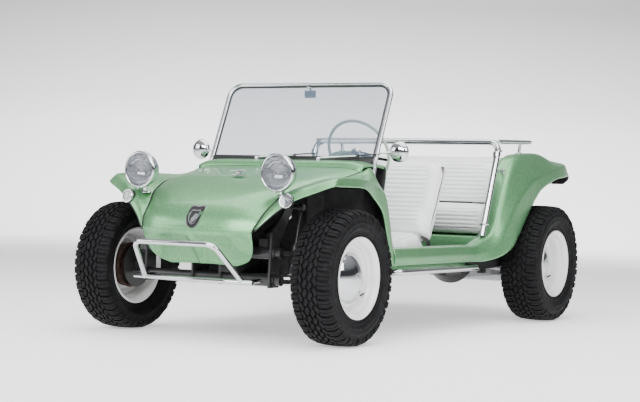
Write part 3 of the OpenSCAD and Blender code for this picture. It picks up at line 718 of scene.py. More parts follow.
front_fender(1), front_fender(-1)
rear_tub()
rear_fender(1), rear_fender(-1)
hood()
cowl()
def arch_liner():
    """Upper edge of the arch panels, closed up to the underside of the shell."""
    M_ = Mesh()
    P = [(353, 166), (378, 302), (545.5, 432), (551, 500)]
    for (ax, ay), (bx, by) in zip(P[:-1], P[1:]):
        a, b = Vector((ax, ay, 0)), Vector((bx, by, 0))
        w = Vector((0, 0, 1)).cross(unit(b - a)) * 5
        lo, hi = Vector((0, 0, 780)), Vector((0, 0, 834))
        vs = [a + lo, b + lo, b + w + lo, a + w + lo, a + hi, b + hi, b + w + hi, a + w + hi]
        M_.add(vs, [(3, 2, 1, 0), (4, 5, 6, 7), (0, 1, 5, 4), (1, 2, 6, 5), (2, 3, 7, 6), (3, 0, 4, 7)])
    M_.add([Vector(p) for p in ((-353, 165, 780), (353, 165, 780), (353, 170, 780), (-353, 170, 780), (-353, 165, 834), (353, 165, 834), (353, 170, 834), (-353, 170, 834))], [(3, 2, 1, 0), (4, 5, 6, 7), (0, 1, 5, 4), (1, 2, 6, 5), (2, 3, 7, 6), (3, 0, 4, 7)])
    # sealing posts behind the panel joints
    for px, py in ((545, 434), (377, 304), (350, 171)):
        M_.box((px - 6, py - 6, 346), (px + 6, py + 6, 834), 1.5)
    M_.both()
    M_.obj("arch_liner_edges", UNDER)


seams()
sills_inner()
arch_liner()


# ---------------------------------------------------------------- wheels and tyres
def arc_profile(R, w):
    """Tread surface across the tyre: distance s from the middle to (x, r, nx, nr) at the grooves' floor."""
    flat, rho = w * 0.80, 15.0

    def at(s):
        a = abs(s)
        sg = 1 if s >= 0 else -1
        r0 = R - 10.5 - 5.0 * min(1.0, (a / flat)) ** 2.2
        if a <= flat:
            return s, r0, 0.02 * sg * a / flat, 1.0
        phi = min((a - flat) / rho, 1.30)
        x = flat + (rho + 4) * math.sin(phi)
        r = r0 - rho * (1 - math.cos(phi))
        rest = max(0.0, a - flat - rho * 1.30)
        x += rest * 0.16
        r -= rest * 0.98
        return sg * x, r, sg * math.sin(phi), math.cos(phi)
    return at, flat


def tyre(name, cx, cy, cz, side, R, w, bo, bi, pitches, seed):
    """side +1: outer face towards +X; x below runs outward."""
    M_ = Mesh()
    rnd = random.Random(seed)
    at, flat = arc_profile(R, w)
    # carcass, inner bead to outer bead and back through the inside
    prof = [(193, -bi), (204, -bi - 3), (212, -bi - 3), (232, -bi - (w - bi) * 0.55), (R - 78, -w + 1.5), (R - 50, -w + 2.5)]
    s_end = flat + 15 * 1.30 + 14
    k = 18
    for i in range(k + 1):
        s = -s_end + 2 * s_end * i / k
        x, r, _, _ = at(s)
        prof.append((r, x))
    prof += [(R - 50, w - 2.5), (R - 64, w + 0.4), (R - 66, w + 1.8), (R - 70, w + 1.8), (R - 72, w + 0.2), (R - 86, w - 1.0), (R - 88, w + 0.6), (R - 93, w + 0.6), (R - 95, w - 2.0),
             (243, bo + (w - bo) * 0.62), (236, bo + (w - bo) * 0.52), (234, bo + (w - bo) * 0.42 + 3.0), (229, bo + (w - bo) * 0.40 + 3.0), (226, bo + (w - bo) * 0.30), (219, bo + 4.5), (216, bo + 6.5), (211, bo + 6.5), (208, bo + 4), (200, bo + 2), (193, bo),
             (193, bo - 12), (214, bo - 10), (236, bo + (w - bo) * 0.6 - 12), (R - 60, w * 0.90), (R - 20, w * 0.66), (R - 20, -w * 0.66), (R - 60, -w * 0.90),
             (236, -bi - (w - bi) * 0.6 + 12), (214, -bi + 10), (193, -bi + 12)]
    M_.lathe(prof, (cx, cy, cz), (side, 0, 0), 144, 0, closed=True)
    C = Vector((cx, cy, cz))

    def P(u, s, h):
        x, r, nx, nr = at(s)
        t = u / R
        rr = r + nr * h
        return C + Vector((side * (x + nx * h), math.cos(t) * rr, math.sin(t) * rr))

    def block(poly, h, inset=1.1, base=-2.0):
        n = len(poly)
        ca = sum(p[0] for p in poly) / n
        cb = sum(p[1] for p in poly) / n

        def shrink(p, d):
            L = math.hypot(p[0] - ca, p[1] - cb)
            q = max(0.0, 1 - d / max(L, 1e-6))
            return ca + (p[0] - ca) * q, cb + (p[1] - cb) * q
        v = [P(p[0] + (p[0] - ca) * 0.03, p[1] + (p[1] - cb) * 0.02, base) for p in poly]
        v += [P(p[0], p[1], h - 1.3) for p in poly]
        v += [P(*shrink(p, inset), h) for p in poly]
        f = []
        for ring in (0, 1):
            for i in range(n):
                j = (i + 1) % n
                f.append((ring * n + i, ring * n + j, (ring + 1) * n + j, (ring + 1) * n + i))
        f.append(tuple(2 * n + i for i in range(n)))
        f.append(tuple(range(n))[::-1])
        M_.add(v, f)

    def strip(stations, h, hs, base=-2.0):
        """stations: (s, u0, u1); a lug that bends over the shoulder."""
        n = len(stations)
        v = []
        for i, (s, a, b) in enumerate(stations):
            hh = hs[i]
            e = 1.2
            v += [P(a, s, base), P(a, s, hh - 1.3), P(a + e, s, hh), P(b - e, s, hh), P(b, s, hh - 1.3), P(b, s, base)]
        f = []
        for i in range(n - 1):
            for j in range(5):
                f.append((i * 6 + j, i * 6 + j + 1, (i + 1) * 6 + j + 1, (i + 1) * 6 + j))
            f.append((i * 6 + 5, i * 6, (i + 1) * 6, (i + 1) * 6 + 5))
        f.append((0, 1, 2, 3, 4, 5))
        f.append(tuple((n - 1) * 6 + j for j in range(6))[::-1])
        M_.add(v, f)

    circ = 2 * math.pi * R
    p = circ / pitches
    H = 10.5
    half = flat
    c1 = half * 0.335
    lug0 = half * 0.655
    # interlocking hooked blocks, two columns on each side of the middle
    hook = [(0.00, 0.16), (0.20, 0.00), (0.50, 0.00), (0.60, 0.30), (0.86, 0.30), (0.86, 0.80), (0.70, 1.0), (0.36, 1.0), (0.26, 0.68), (0.0, 0.68)]
    for i in range(pitches):
        j = p * (0.985 + 0.03 * rnd.random())
        for sgn in (-1, 1):
            for col, (s0, s1, off) in enumerate(((2.5, c1 - 2.0, 0.0), (c1 + 2.0, lug0 - 2.5, 0.5))):
                u0 = (i + off + (0.25 if sgn > 0 else 0.0)) * p
                poly = []
                for a, b in hook:
                    bb = b if (col + (sgn > 0)) % 2 == 0 else 1 - b
                    poly.append((u0 + a * j, sgn * (s0 + bb * (s1 - s0))))
                block(poly, H)
            # shoulder lugs, alternately long and short, each with a narrow sipe
            u0 = (i + (0.12 if sgn > 0 else 0.62)) * p
            long_ = i % 2 == 0
            reach = half + (36 if long_ else 22)
            st, hs = [], []
            wlug = p * 0.78
            for q in (0.0, 0.25, 0.5, 0.75, 0.9, 1.0):
                s = lug0 + (reach - lug0) * q
                bend = 4.0 * math.sin(q * math.pi)
                taper = 1.0 - 0.10 * q - (0.0 if q < 0.9 else 0.10)
                a = u0 + bend + (wlug * (1 - taper)) / 2
                st.append((sgn * s, a, a + wlug * taper))
                hs.append(H if s < half else H - (4.5 if long_ else 6.0) * (s - half) / (reach - half))
            # split by the sipe
            strip([(s, a, a + (b - a) * 0.47) for s, a, b in st], H, hs)
            strip([(s, a + (b - a) * 0.53, b) for s, a, b in st], H, hs)
            strip([(s, a + (b - a) * 0.45, a + (b - a) * 0.55) for s, a, b in st[2:]], H, [x - 3.5 for x in hs[2:]])
            # small bars low on the sidewall between the long lugs
            if not long_:
                s2 = half + 27
                strip([(sgn * s2, u0 + p * 0.2, u0 + p * 0.62), (sgn * (s2 + 8), u0 + p * 0.24, u0 + p * 0.58)], 3, [3.2, 2.4])
    o = M_.obj("tyre_" + name + "_tread", RUBBER, "road_wheel_" + name, sharp=28)
    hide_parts("tyre_" + name)
    return o


def wheel(name, rx, cy, cz, side, w, d, cap):
    """rx: distance of the rim's middle plane from the car's middle; x below runs outward."""
    q = w - d
    A_ = (side, 0, 0)
    O = (side * rx, cy, cz)
    rim = Mesh()
    prof = [(208.5, w - 3.2), (208.0, w - 1.4), (206.5, w - 0.3), (204.4, w), (202.2, w - 0.7), (200.2, w - 2.6), (198.4, w - 5.6), (195.5, w - 9.0), (190.5, w - 12.6), (186.5, w - 15.4), (184.4, w - 18.6),
            (183.4, w - 24), (182.6, w - 34), (181.6, w - 39), (179.0, w - 42.5), (174.5, w - 45.5), (171.5, w - 49), (170.2, w - 54), (169.0, w - 62)]
    if q + 12 < w - 66:
        prof += [(168.2, q + 22), (167.0, q + 14)]
    prof += [(164.5, q + 7), (160.0, q + 2.0), (154.5, q + 0.2), (149.5, q + 1.6), (145.5, q + 5.6), (141.5, q + 10.4), (136.5, q + 12.4), (131.5, q + 11.6), (127, q + 9.0), (118, q + 8.0), (90, q + 7), (50, q + 6),
             (50, q), (118, q + 1), (136, q + 6), (144, q + 0), (152, q - 5), (162, q - 3), (163, q - 12),
             (163, -w + 64), (176, -w + 50), (181, -w + 16), (200, -w), (205, -w), (208.5, -w + 2), (208.5, -w + 6), (196, -w + 11), (192, -w + 16), (186, -w + 50), (171, -w + 60),
             (173, w - 62), (176, w - 52), (186, w - 42), (189, w - 20), (193, w - 13), (202, w - 8), (208.5, w - 6.2)]
    rim.lathe(prof, O, A_, 128, 0, closed=True)
    o = rim.obj("rim_" + name, WHITE, "road_wheel_" + name, sharp=50)
    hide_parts("wheel_" + name)
    capm = Mesh()
    pr = [(0, q + cap), (9.5, q + cap), (12.2, q + cap - 0.6), (13.2, q + cap - 2.4), (14.4, q + cap - 3.2)]
    for i in range(1, 25):
        t = i / 24
        r = 14.4 + (121.5 - 14.4) * t
        h = q + 19 + (cap - 3.2 - 19) * math.cos(t * math.pi / 2) ** 0.86
        pr.append((r, h))
    pr += [(123.5, q + 16.8), (126.2, q + 15.6), (128.2, q + 13.6), (127.6, q + 11.6), (124.5, q + 11.4), (121, q + 13), (112, q + 22), (80, q + cap * 0.70), (30, q + cap * 0.84), (0, q + cap * 0.86)]
    capm.lathe(pr, O, A_, 96)
    oc = capm.obj("hubcap_" + name, CHROME, "road_wheel_" + name, sharp=40)
    dr = Mesh()
    dr.lathe([(16, q - 1), (110, q - 1), (116, q - 8), (118, q - 46), (122, q - 48), (122, q - 54), (108, q - 54), (108, q - 12), (42, q - 12), (42, q - 60), (16, q - 60)], O, A_, 64, 0, closed=True)
    for i in range(5):
        t = i * 2 * math.pi / 5 + 0.4
        c = Vector(O) + Vector((side * (q - 2), 0, 0)) + Vector((0, math.cos(t), math.sin(t))) * 82
        dr.lathe([(0, 13), (8, 12), (9, 9), (9, 0), (0, 0)], c, A_, 12)
    od = dr.obj("drum_" + name, DRUM, "road_wheel_" + name)
    vs = Mesh()
    t = math.radians(-37 if side > 0 else -143)
    base = Vector(O) + Vector((side * (q + 4), math.cos(t) * 157, math.sin(t) * 157))
    n = unit(Vector((side * 1.0, -math.cos(t) * 0.75, -math.sin(t) * 0.75)))
    vs.tube([base, base + n * 30], 4.6, sides=12)
    vs.tube([base + n * 26, base + n * 37], 3.6, sides=12)
    ov = vs.obj("valve_" + name, BLKPL, "road_wheel_" + name)


for nm, sd in (("front_left", 1), ("front_right", -1)):
    tyre(nm, sd * 678, 0, FZ, sd, FZ, 107.5, 87, 53, 46, 3)
    wheel(nm, 780 - 84, 0, FZ, sd, 84, 70, 62)
for nm, sd in (("rear_left", 1), ("rear_right", -1)):
    tyre(nm, sd * 731, 2400, RZ, sd, RZ, 119, 94, 78, 48, 5)
    wheel(nm, 840 - 100, 2400, RZ, sd, 100, 112, 56)


# ---------------------------------------------------------------- chrome rails and bumpers
def rod_pts(a, b):
    return [Vector(a), Vector(b)]


def chrome_parts():
    m = Mesh()
    m.tube([[-302, -340, 312], [-243, -520, 500], [243, -520, 500], [302, -340, 312]], 14, R=60, k=14, sides=32)
    m.tube([[-362, -344, 312], [362, -344, 312]], 13, sides=32)
    for s in (-1, 1):
        m.lathe([(0, 0), (9, 0), (12, 2), (13, 5)], (s * 367, -344, 312), (-s, 0, 0), 32)
        m.tube([[s * 330, -344, 312], [s * 330, -222, 318]], 11, sides=24)
        # weld beads where the hoop meets the lower tube
        m.lathe([(13.2, -3), (16.5, 0), (13.2, 3)], (s * 302, -340, 312), (0, -0.69, 0.72), 28)
    o = m.obj("front_bumper_tubes", CHROME)
    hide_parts("front_bumper")

    m = Mesh()
    m.tube([[-626, 1752, 534], [-650, 1912, 1106], [650, 1912, 1106], [626, 1752, 534]], 19, R=62, k=16, sides=36)
    m.tube([[-650, 1925, 1110], [-650, 2440, 1126], [650, 2440, 1126], [650, 1925, 1110]], 13, R=80, k=14, sides=28)
    for s in (-1, 1):
        m.tube([[s * 640, 2230, 1050], [s * 648, 2230, 1112]], 10, sides=24)
        m.lathe([(0, 0), (22, 0), (23, 3), (20, 6), (11, 8)], (s * 640, 2230, 1046), (0, 0, 1), 32)
        m.tube([[s * 640, 1862, 930], [s * 644, 1985, 930]], 8, sides=20)
        # clamp rings where the rail meets the hoop and the body
        m.lathe([(21.5, -16), (23, -14), (23, 14), (21.5, 16), (18, 16), (18, -16)], (s * 646, 1884, 1028), (0, 0.258, 0.966), 32, 0, closed=True)
        m.lathe([(0, 0), (31, 0), (32, 4), (28, 9), (19, 11)], (s * 628.5, 1771, 600), (s * 0.04, 0.258, 0.966), 36)
        # round feet of the brackets on the inside of the hoop
        m.lathe([(0, 0), (15, 0), (16, 3), (10, 7)], (s * 644, 1985, 930), (0, -1, 0), 24)
    o = m.obj("roll_bar_and_rail", CHROME)
    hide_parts("roll_bar")
    m = Mesh()
    for s in (-1, 1):
        # bolt heads of the clamps
        for z, y in ((930, 1884), (1052, 1902)):
            m.lathe([(0, 5), (6.5, 5), (7.5, 4), (7.5, 0), (0, 0)], (s * 667, y, z), (s, 0, 0), 6)
    m.obj("roll_bar_bolts", STEEL)

    m = Mesh()
    m.tube([[560, 640, 350], [664, 640, 350], [664, 1650, 350], [560, 1650, 350]], 17, R=50, k=14, sides=32)
    m.both()
    o = m.obj("side_step_tubes", CHROME)
    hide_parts("side_steps")

    m = Mesh()
    m.tube([[-420, 2560, 300], [-420, 3100, 430], [420, 3100, 430], [420, 2560, 300]], 16, R=90, k=14, sides=32)
    for s in (-1, 1):
        m.tube([[s * 420, 2572, 303], [s * 150, 2500, 330]], 14, sides=24)
    o = m.obj("rear_bumper_tubes", CHROME)
    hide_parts("rear_bumper")

    m = Mesh()
    m.lathe([(0, 0), (30, 0), (42, 2), (47, 6), (48, 12), (48, 588), (47, 594), (42, 598), (30, 600), (0, 600)], (-300, 3042, 240), (1, 0, 0), 56)
    for x in (-293, 293):
        m.lathe([(48, -3), (50.5, -1), (50.5, 1), (48, 3)], (x, 3042, 240), (1, 0, 0), 56)
    for s in (-1, 1):
        m.tube([[s * 250, 2880, 300], [s * 330, 2880, 300], [s * 330, 3042, 285], [s * 330, 3046, 240], [s * 280, 3042, 240]], 18, R=18, k=8, sides=28)
        m.lathe([(15, 0), (19, 0), (19, 70), (19.8, 72), (19.8, 77), (18, 78), (16.5, 76), (16.5, 4)], (s * 120, 3038, 234), (0, 1, -0.10), 32)
    o = m.obj("exhaust_muffler_and_tips", CHROME)
    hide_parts("exhaust")


chrome_parts()


# ---------------------------------------------------------------- lamps
def fluted_lens_mat():
    m = glass_mat("fluted_headlamp_lens", (0.16, 0.17, 0.19), 0.34, 0.03)
    nt = m.node_tree
    b = nt.nodes["Principled BSDF"]
    w = N(nt, "ShaderNodeTexWave", wave_type="BANDS", bands_direction="X")
    w.inputs["Scale"].default_value = 34.0
    nt.links.new(coords(nt), w.inputs["Vector"])
    bump(nt, b, w.outputs["Fac"], 0.6, 0.002)
    return m


FLUTED = fluted_lens_mat()


def lamps():
    ax = (0, 1, 0)
    for s, nm in ((1, "left"), (-1, "right")):
        o = (s * 428, -251, 864)
        m = Mesh()
        # bowl with a rolled lip, and the bezel over it
        prof = [(0, 112), (14, 111.4), (30, 108), (46, 101), (60, 91), (73, 76), (84, 57), (90, 40), (93, 28), (95, 20), (98.0, 17), (98.6, 13), (97.5, 9), (98.4, 5), (98.0, 1.0), (95.5, -3), (91.5, -5.5), (88.5, -6.4), (86.4, -5.4),
                (85.2, -2.6), (84.6, 2), (84.2, 10), (86, 20), (84, 40), (76, 60), (60, 80), (30, 98), (0, 102)]
        m.lathe(prof, o, ax, 96)
        # stem and foot
        m.tube([[s * 428, -195, 744], [s * 428, -197, 766], [s * 428, -199, 786]], 15, sides=28, radii=[15.5, 14.5, 17])
        m.lathe([(0, 0), (30, 0), (31, 2.5), (28, 8), (20, 12.5), (15, 15)], (s * 428, -192, 742), (0, 0, 1), 40)
        m.lathe([(0, 0), (9, 0), (10, 2), (10, 9), (8, 12), (0, 12)], (s * 428, -199, 770), (0, -1, 0), 6)
        # clamp screw under the bezel
        m.box((s * 428 - 5, -262, 760), (s * 428 + 5, -250, 769), 1.5)
        ob = m.obj("headlamp_bowl_" + nm, CHROME)
        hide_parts("headlights")
        r = Mesh()
        r.lathe([(84, 4), (82, 18), (74, 38), (60, 56), (40, 70), (18, 78), (8, 79), (8, 74), (0, 74)], o, ax, 80)
        rr = r.obj("headlamp_reflector_" + nm, MIRROR, sharp=50)
        b_ = Mesh()
        b_.lathe([(0, 8), (7, 9), (9.5, 14), (10, 24), (8, 40), (8, 70), (0, 70)], o, ax, 24)
        bb = b_.obj("headlamp_bulb_" + nm, WHITE)
        l = Mesh()
        l.lathe([(0, -15.0), (24, -14.2), (46, -11.9), (66, -8.2), (80, -4.0), (86, -1.2), (86, 1.4), (80, -1.0), (66, -5.2), (46, -8.9), (24, -11.2), (0, -12.0)], o, ax, 80)
        ll = l.obj("headlamp_lens_" + nm, FLUTED, sharp=60)

        # turn signal: black pad, chrome ring, clear dome
        R_ = Matrix.Rotation(math.radians(8 * s), 3, "Z") @ Matrix.Rotation(math.radians(78), 3, "X")
        d = R_ @ Vector((0, 0, 1))
        c = Vector((s * 492, -252, 722))
        m = Mesh()
        m.lathe([(0, -10), (38.5, -10), (39.5, -6), (39.5, 3), (37.5, 6), (30, 6.5), (0, 6.5)], c, d, 56)
        g = m.obj("turn_signal_pad_" + nm, GASKET)
        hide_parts("turn_signals")
        m = Mesh()
        m.lathe([(37.6, 6.0), (38.2, 9), (36.8, 12.4), (33.6, 14.4), (30.6, 14.2), (29.6, 12), (29.6, 7)], c, d, 56)
        m.lathe([(0, 7.2), (18, 7.6), (28.5, 8.4)], c, d, 40)
        k = m.obj("turn_signal_ring_" + nm, CHROME)
        m = Mesh()
        m.lathe([(30.4, 12.0), (29.2, 17.5), (25.4, 21.2), (18, 23.4), (9, 24.2), (0, 24.4), (0, 21.8), (9, 21.6), (17.5, 20.8), (24.2, 18.8), (27.4, 15.8), (28.4, 12)], c, d, 48)
        ln = m.obj("turn_signal_lens_" + nm, LENS)

        m = Mesh()
        cc = Vector((s * 470, 2896, 908))
        m.lathe([(0, -3), (33, -3), (34, 2), (33.6, 9), (32, 13), (30, 13.6), (29.6, 11), (29.4, 8)], cc, (0, 1, 0), 64)
        t = m.obj("tail_lamp_ring_" + nm, CHROME)
        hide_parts("tail_lights")
        m = Mesh()
        m.lathe([(30, 8), (29.4, 15), (27.6, 21), (24, 26), (17.5, 28.4), (9, 28.0), (8, 29.4), (0, 29.8)], cc, (0, 1, 0), 64)
        t = m.obj("tail_lamp_lens_" + nm, REDL)


lamps()


# ---------------------------------------------------------------- windshield, wipers, mirrors
RAKE = math.radians(-23.3)
SHR = Matrix.Rotation(RAKE, 3, "X")


def S_(p):
    """A point in the windshield's own plane to the car."""
    return SHR @ Vector(p) + Vector((0, 556, 931))


def windshield():
    m = Mesh()
    P = [S_(p) for p in ([-552, 0, -124], [-534, 0, 20], [-534, 0, 488], [534, 0, 488], [534, 0, 20], [552, 0, -124])]
    path = bends(P, 80, 16)
    v, f = sweep(path, 13, 32, up=Vector((0, 1, 0)))
    m.add(v, f)
    m.tube([S_([-528, 0, 22]), S_([528, 0, 22])], 10, sides=28)
    o = m.obj("windshield_frame_tube", ALU)
    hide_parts("windshield_frame")
    # side plates that bolt the frame to the cowl
    m = Mesh()
    for s in (-1, 1):
        R = Matrix.Rotation(RAKE, 3, "X")
        m.box((s * 540 - 6, 478, 836), (s * 540 + 6, 522, 912), 3, rot=R, about=(s * 540, 478, 836))
        for k in (18, 58):
            c = Vector((s * 540, 478, 836)) + R @ Vector((s * 6, 22, k))
            m.lathe([(0, 5), (8, 5), (9.5, 3.5), (9.5, 0), (0, 0)], c, (s, 0, 0), 6)
    o = m.obj("windshield_side_plates", ALU)
    # black rubber channel inside the frame
    m = Mesh()
    inner = [S_(p) for p in ([-519, 0, 34], [-519, 0, 473], [519, 0, 473], [519, 0, 34])]
    c = bends([inner[0], inner[1], inner[2], inner[3]], 66, 12)
    v, f = sweep(c, 6.2, 10, up=Vector((0, 1, 0)))
    m.add(v, f)
    m.tube([S_([-520, 0, 35]), S_([520, 0, 35])], 6.5, sides=12)
    m.obj("windshield_channel", GASKET)
    # black seal between the frame's foot and the cowl
    m = Mesh()
    pts = []
    for i in range(33):
        x = -520 + 1040 * i / 32
        pts.append(Vector((x, 560, 944 - 10 * abs(x / 545) ** 12)))
    v, f = sweep(pts, 7.5, 12)
    m.add(v, f)
    strip = Mesh()
    strip.box((-521, -13, -8), (521, 13, 37), 4)
    m.add([S_(p) for p in strip.v], strip.f)
    m.obj("windshield_seal", GASKET)
    # pane with rounded upper corners
    R0 = 62
    pts = []
    x1, z0, z1 = 518, 35, 472
    pts += [(-x1, z0), (x1, z0)]
    for i in range(13):
        t = math.pi / 2 * i / 12
        pts.append((x1 - R0 + R0 * math.cos(t), z1 - R0 + R0 * math.sin(t)))
    for i in range(13):
        t = math.pi / 2 + math.pi / 2 * i / 12
        pts.append((-x1 + R0 + R0 * math.cos(t), z1 - R0 + R0 * math.sin(t)))
    n = len(pts)
    verts = [S_((x, -2.5, z)) for x, z in pts] + [S_((x, 2.5, z)) for x, z in pts]
    faces = [tuple(range(n)), tuple(range(n, 2 * n))[::-1]] + [(i, (i + 1) % n, n + (i + 1) % n, n + i) for i in range(n)]
    m = Mesh()
    m.add(verts, faces)
    o = m.obj("windshield_pane", GLASS, sharp=40)
    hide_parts("windshield_glass")


def wipers_and_mirrors():
    m = Mesh()
    for x in (-170, 232):
        m.lathe([(0, 0), (15, 0), (15, 3), (12, 5), (11.5, 16), (9, 20), (0, 21)], (x, 474, 943), (0, -0.14, 0.99), 28)
        m.tube([[x, 476, 958], [x + 60, 494, 963], [x + 200, 535, 973]], 4, sides=12, radii=[5.5, 4.2, 3.2])
        m.box((x - 8, 466, 954), (x + 22, 488, 963), 2.5)
    o = m.obj("wiper_arms", ALU)
    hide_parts("wipers")
    m = Mesh()
    for x in (-170, 232):
        m.tube([[x + 60, 541, 967], [x + 200, 544, 976], [x + 330, 553, 985]], 3.4, sides=8)
        m.tube([[x + 62, 547, 966], [x + 200, 551, 975], [x + 328, 560, 984]], 2.2, sides=6)
        m.box((x + 188, 534, 969), (x + 212, 548, 979), 2)
    m.obj("wiper_blades", BLKPL)

    for s, nm in ((1, "left"), (-1, "right")):
        m = Mesh()
        m.tube([[s * 542, 590, 990], [s * 580, 594, 992], [s * 612, 606, 998]], 6, sides=20)
        m.lathe([(0, 0), (14, 0), (14, 4), (9, 7), (0, 7)], (s * 540, 590, 990), (s, 0.1, 0), 24)
        # cup faces forward; glass faces the driver
        m.lathe([(0, -30.5), (14, -30), (30, -27), (44, -20), (53, -11), (57.5, -2), (58, 2.0), (57, 4), (54, 4.4), (53, 2), (50, -4), (0, -4)], (s * 650, 618, 1000), (0, 1, 0), 72)
        o = m.obj("side_mirror_" + nm, CHROME)
        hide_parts("mirrors")
        m = Mesh()
        m.lathe([(0, 1.0), (53, 1.0), (53, -3), (0, -3)], (s * 650, 618, 1000), (0, 1, 0), 64)
        o = m.obj("side_mirror_face_" + nm, MIRROR)
    m = Mesh()
    m.box((-36, 741, 1303), (36, 755, 1345), 5, seg=3)
    m.tube([[0, 750, 1340], [0, 748, 1356], [0, 745, 1370]], 5, sides=14)
    m.lathe([(0, 0), (13, 0), (13, 4), (8, 7), (0, 7)], (0, 744, 1373), (0, 0, -1), 20)
    o = m.obj("inside_mirror_case", BLKPL)
    m = Mesh()
    m.box((-31, 754.6, 1308), (31, 756.4, 1340), 0.6)
    o = m.obj("inside_mirror_face", MIRROR)
    # wind-up wing nut on the top tube
    m = Mesh()
    m.tube([[-14, 738, 1362], [14, 738, 1362]], 5, sides=12)
    m.obj("inside_mirror_clip", ALU)


windshield()
wipers_and_mirrors()


# ---------------------------------------------------------------- seats
def closest_on(poly, p):
    best, bd = None, 1e18
    for a, b in zip(poly[:-1], poly[1:]):
        d = b - a
        t = max(0.0, min(1.0, (p - a).dot(d) / d.length_squared))
        q = a + d * t
        if (q - p).length < bd:
            best, bd = q, (q - p).length
    return best


def loop_points(ctrl, k=12):
    n = len(ctrl)
    P = [Vector((a, b)) for a, b in ctrl]
    out = []
    for i in range(n):
        a, b, c, d = P[i - 1], P[i], P[(i + 1) % n], P[(i + 2) % n]
        for s in range(k):
            out.append(cr(a, b, c, d, s / k))
    return out


def resample(loop, fine_lo, fine_hi, fine_step, step_):
    """Closed loop resampled: arc length from its first point, finer between two lengths."""
    L = loop + [loop[0]]
    cum = [0.0]
    for a, b in zip(L[:-1], L[1:]):
        cum.append(cum[-1] + (b - a).length)
    total = cum[-1]
    out, s, j = [], 0.0, 0
    while s < total - 0.5 * fine_step:
        while cum[j + 1] < s:
            j += 1
        t = (s - cum[j]) / max(cum[j + 1] - cum[j], 1e-9)
        out.append((L[j].lerp(L[j + 1], t), s))
        s += fine_step if fine_lo <= s <= fine_hi else step_
    return out, total


def inflate(o, pressure, cap, name):
    """Cloth simulation of a stuffed cover, with its travel capped."""
    me = o.data
    start = [v.co.copy() for v in me.vertices]
    sc = bpy.context.scene
    sc.frame_start, sc.frame_end = 1, 20
    c = o.modifiers.new("stuffing", "CLOTH")
    st = c.settings
    st.quality = 4
    st.mass = 0.3
    st.use_pressure = True
    st.uniform_pressure_force = pressure
    st.tension_stiffness = 30
    st.compression_stiffness = 20
    st.shear_stiffness = 20
    st.bending_stiffness = 4
    st.effector_weights.gravity = 0
    c.collision_settings.use_collision = False
    for f in range(1, 21):
        sc.frame_set(f)
    dg = bpy.context.evaluated_depsgraph_get()
    ev = o.evaluated_get(dg)
    pts = [v.co.copy() for v in ev.data.vertices]
    o.modifiers.remove(c)
    sc.frame_set(1)
    if len(pts) != len(start):
        return
    for v, a, b in zip(me.vertices, start, pts):
        d = b - a
        if d.length > cap:
            d *= cap / d.length
        v.co = a + d


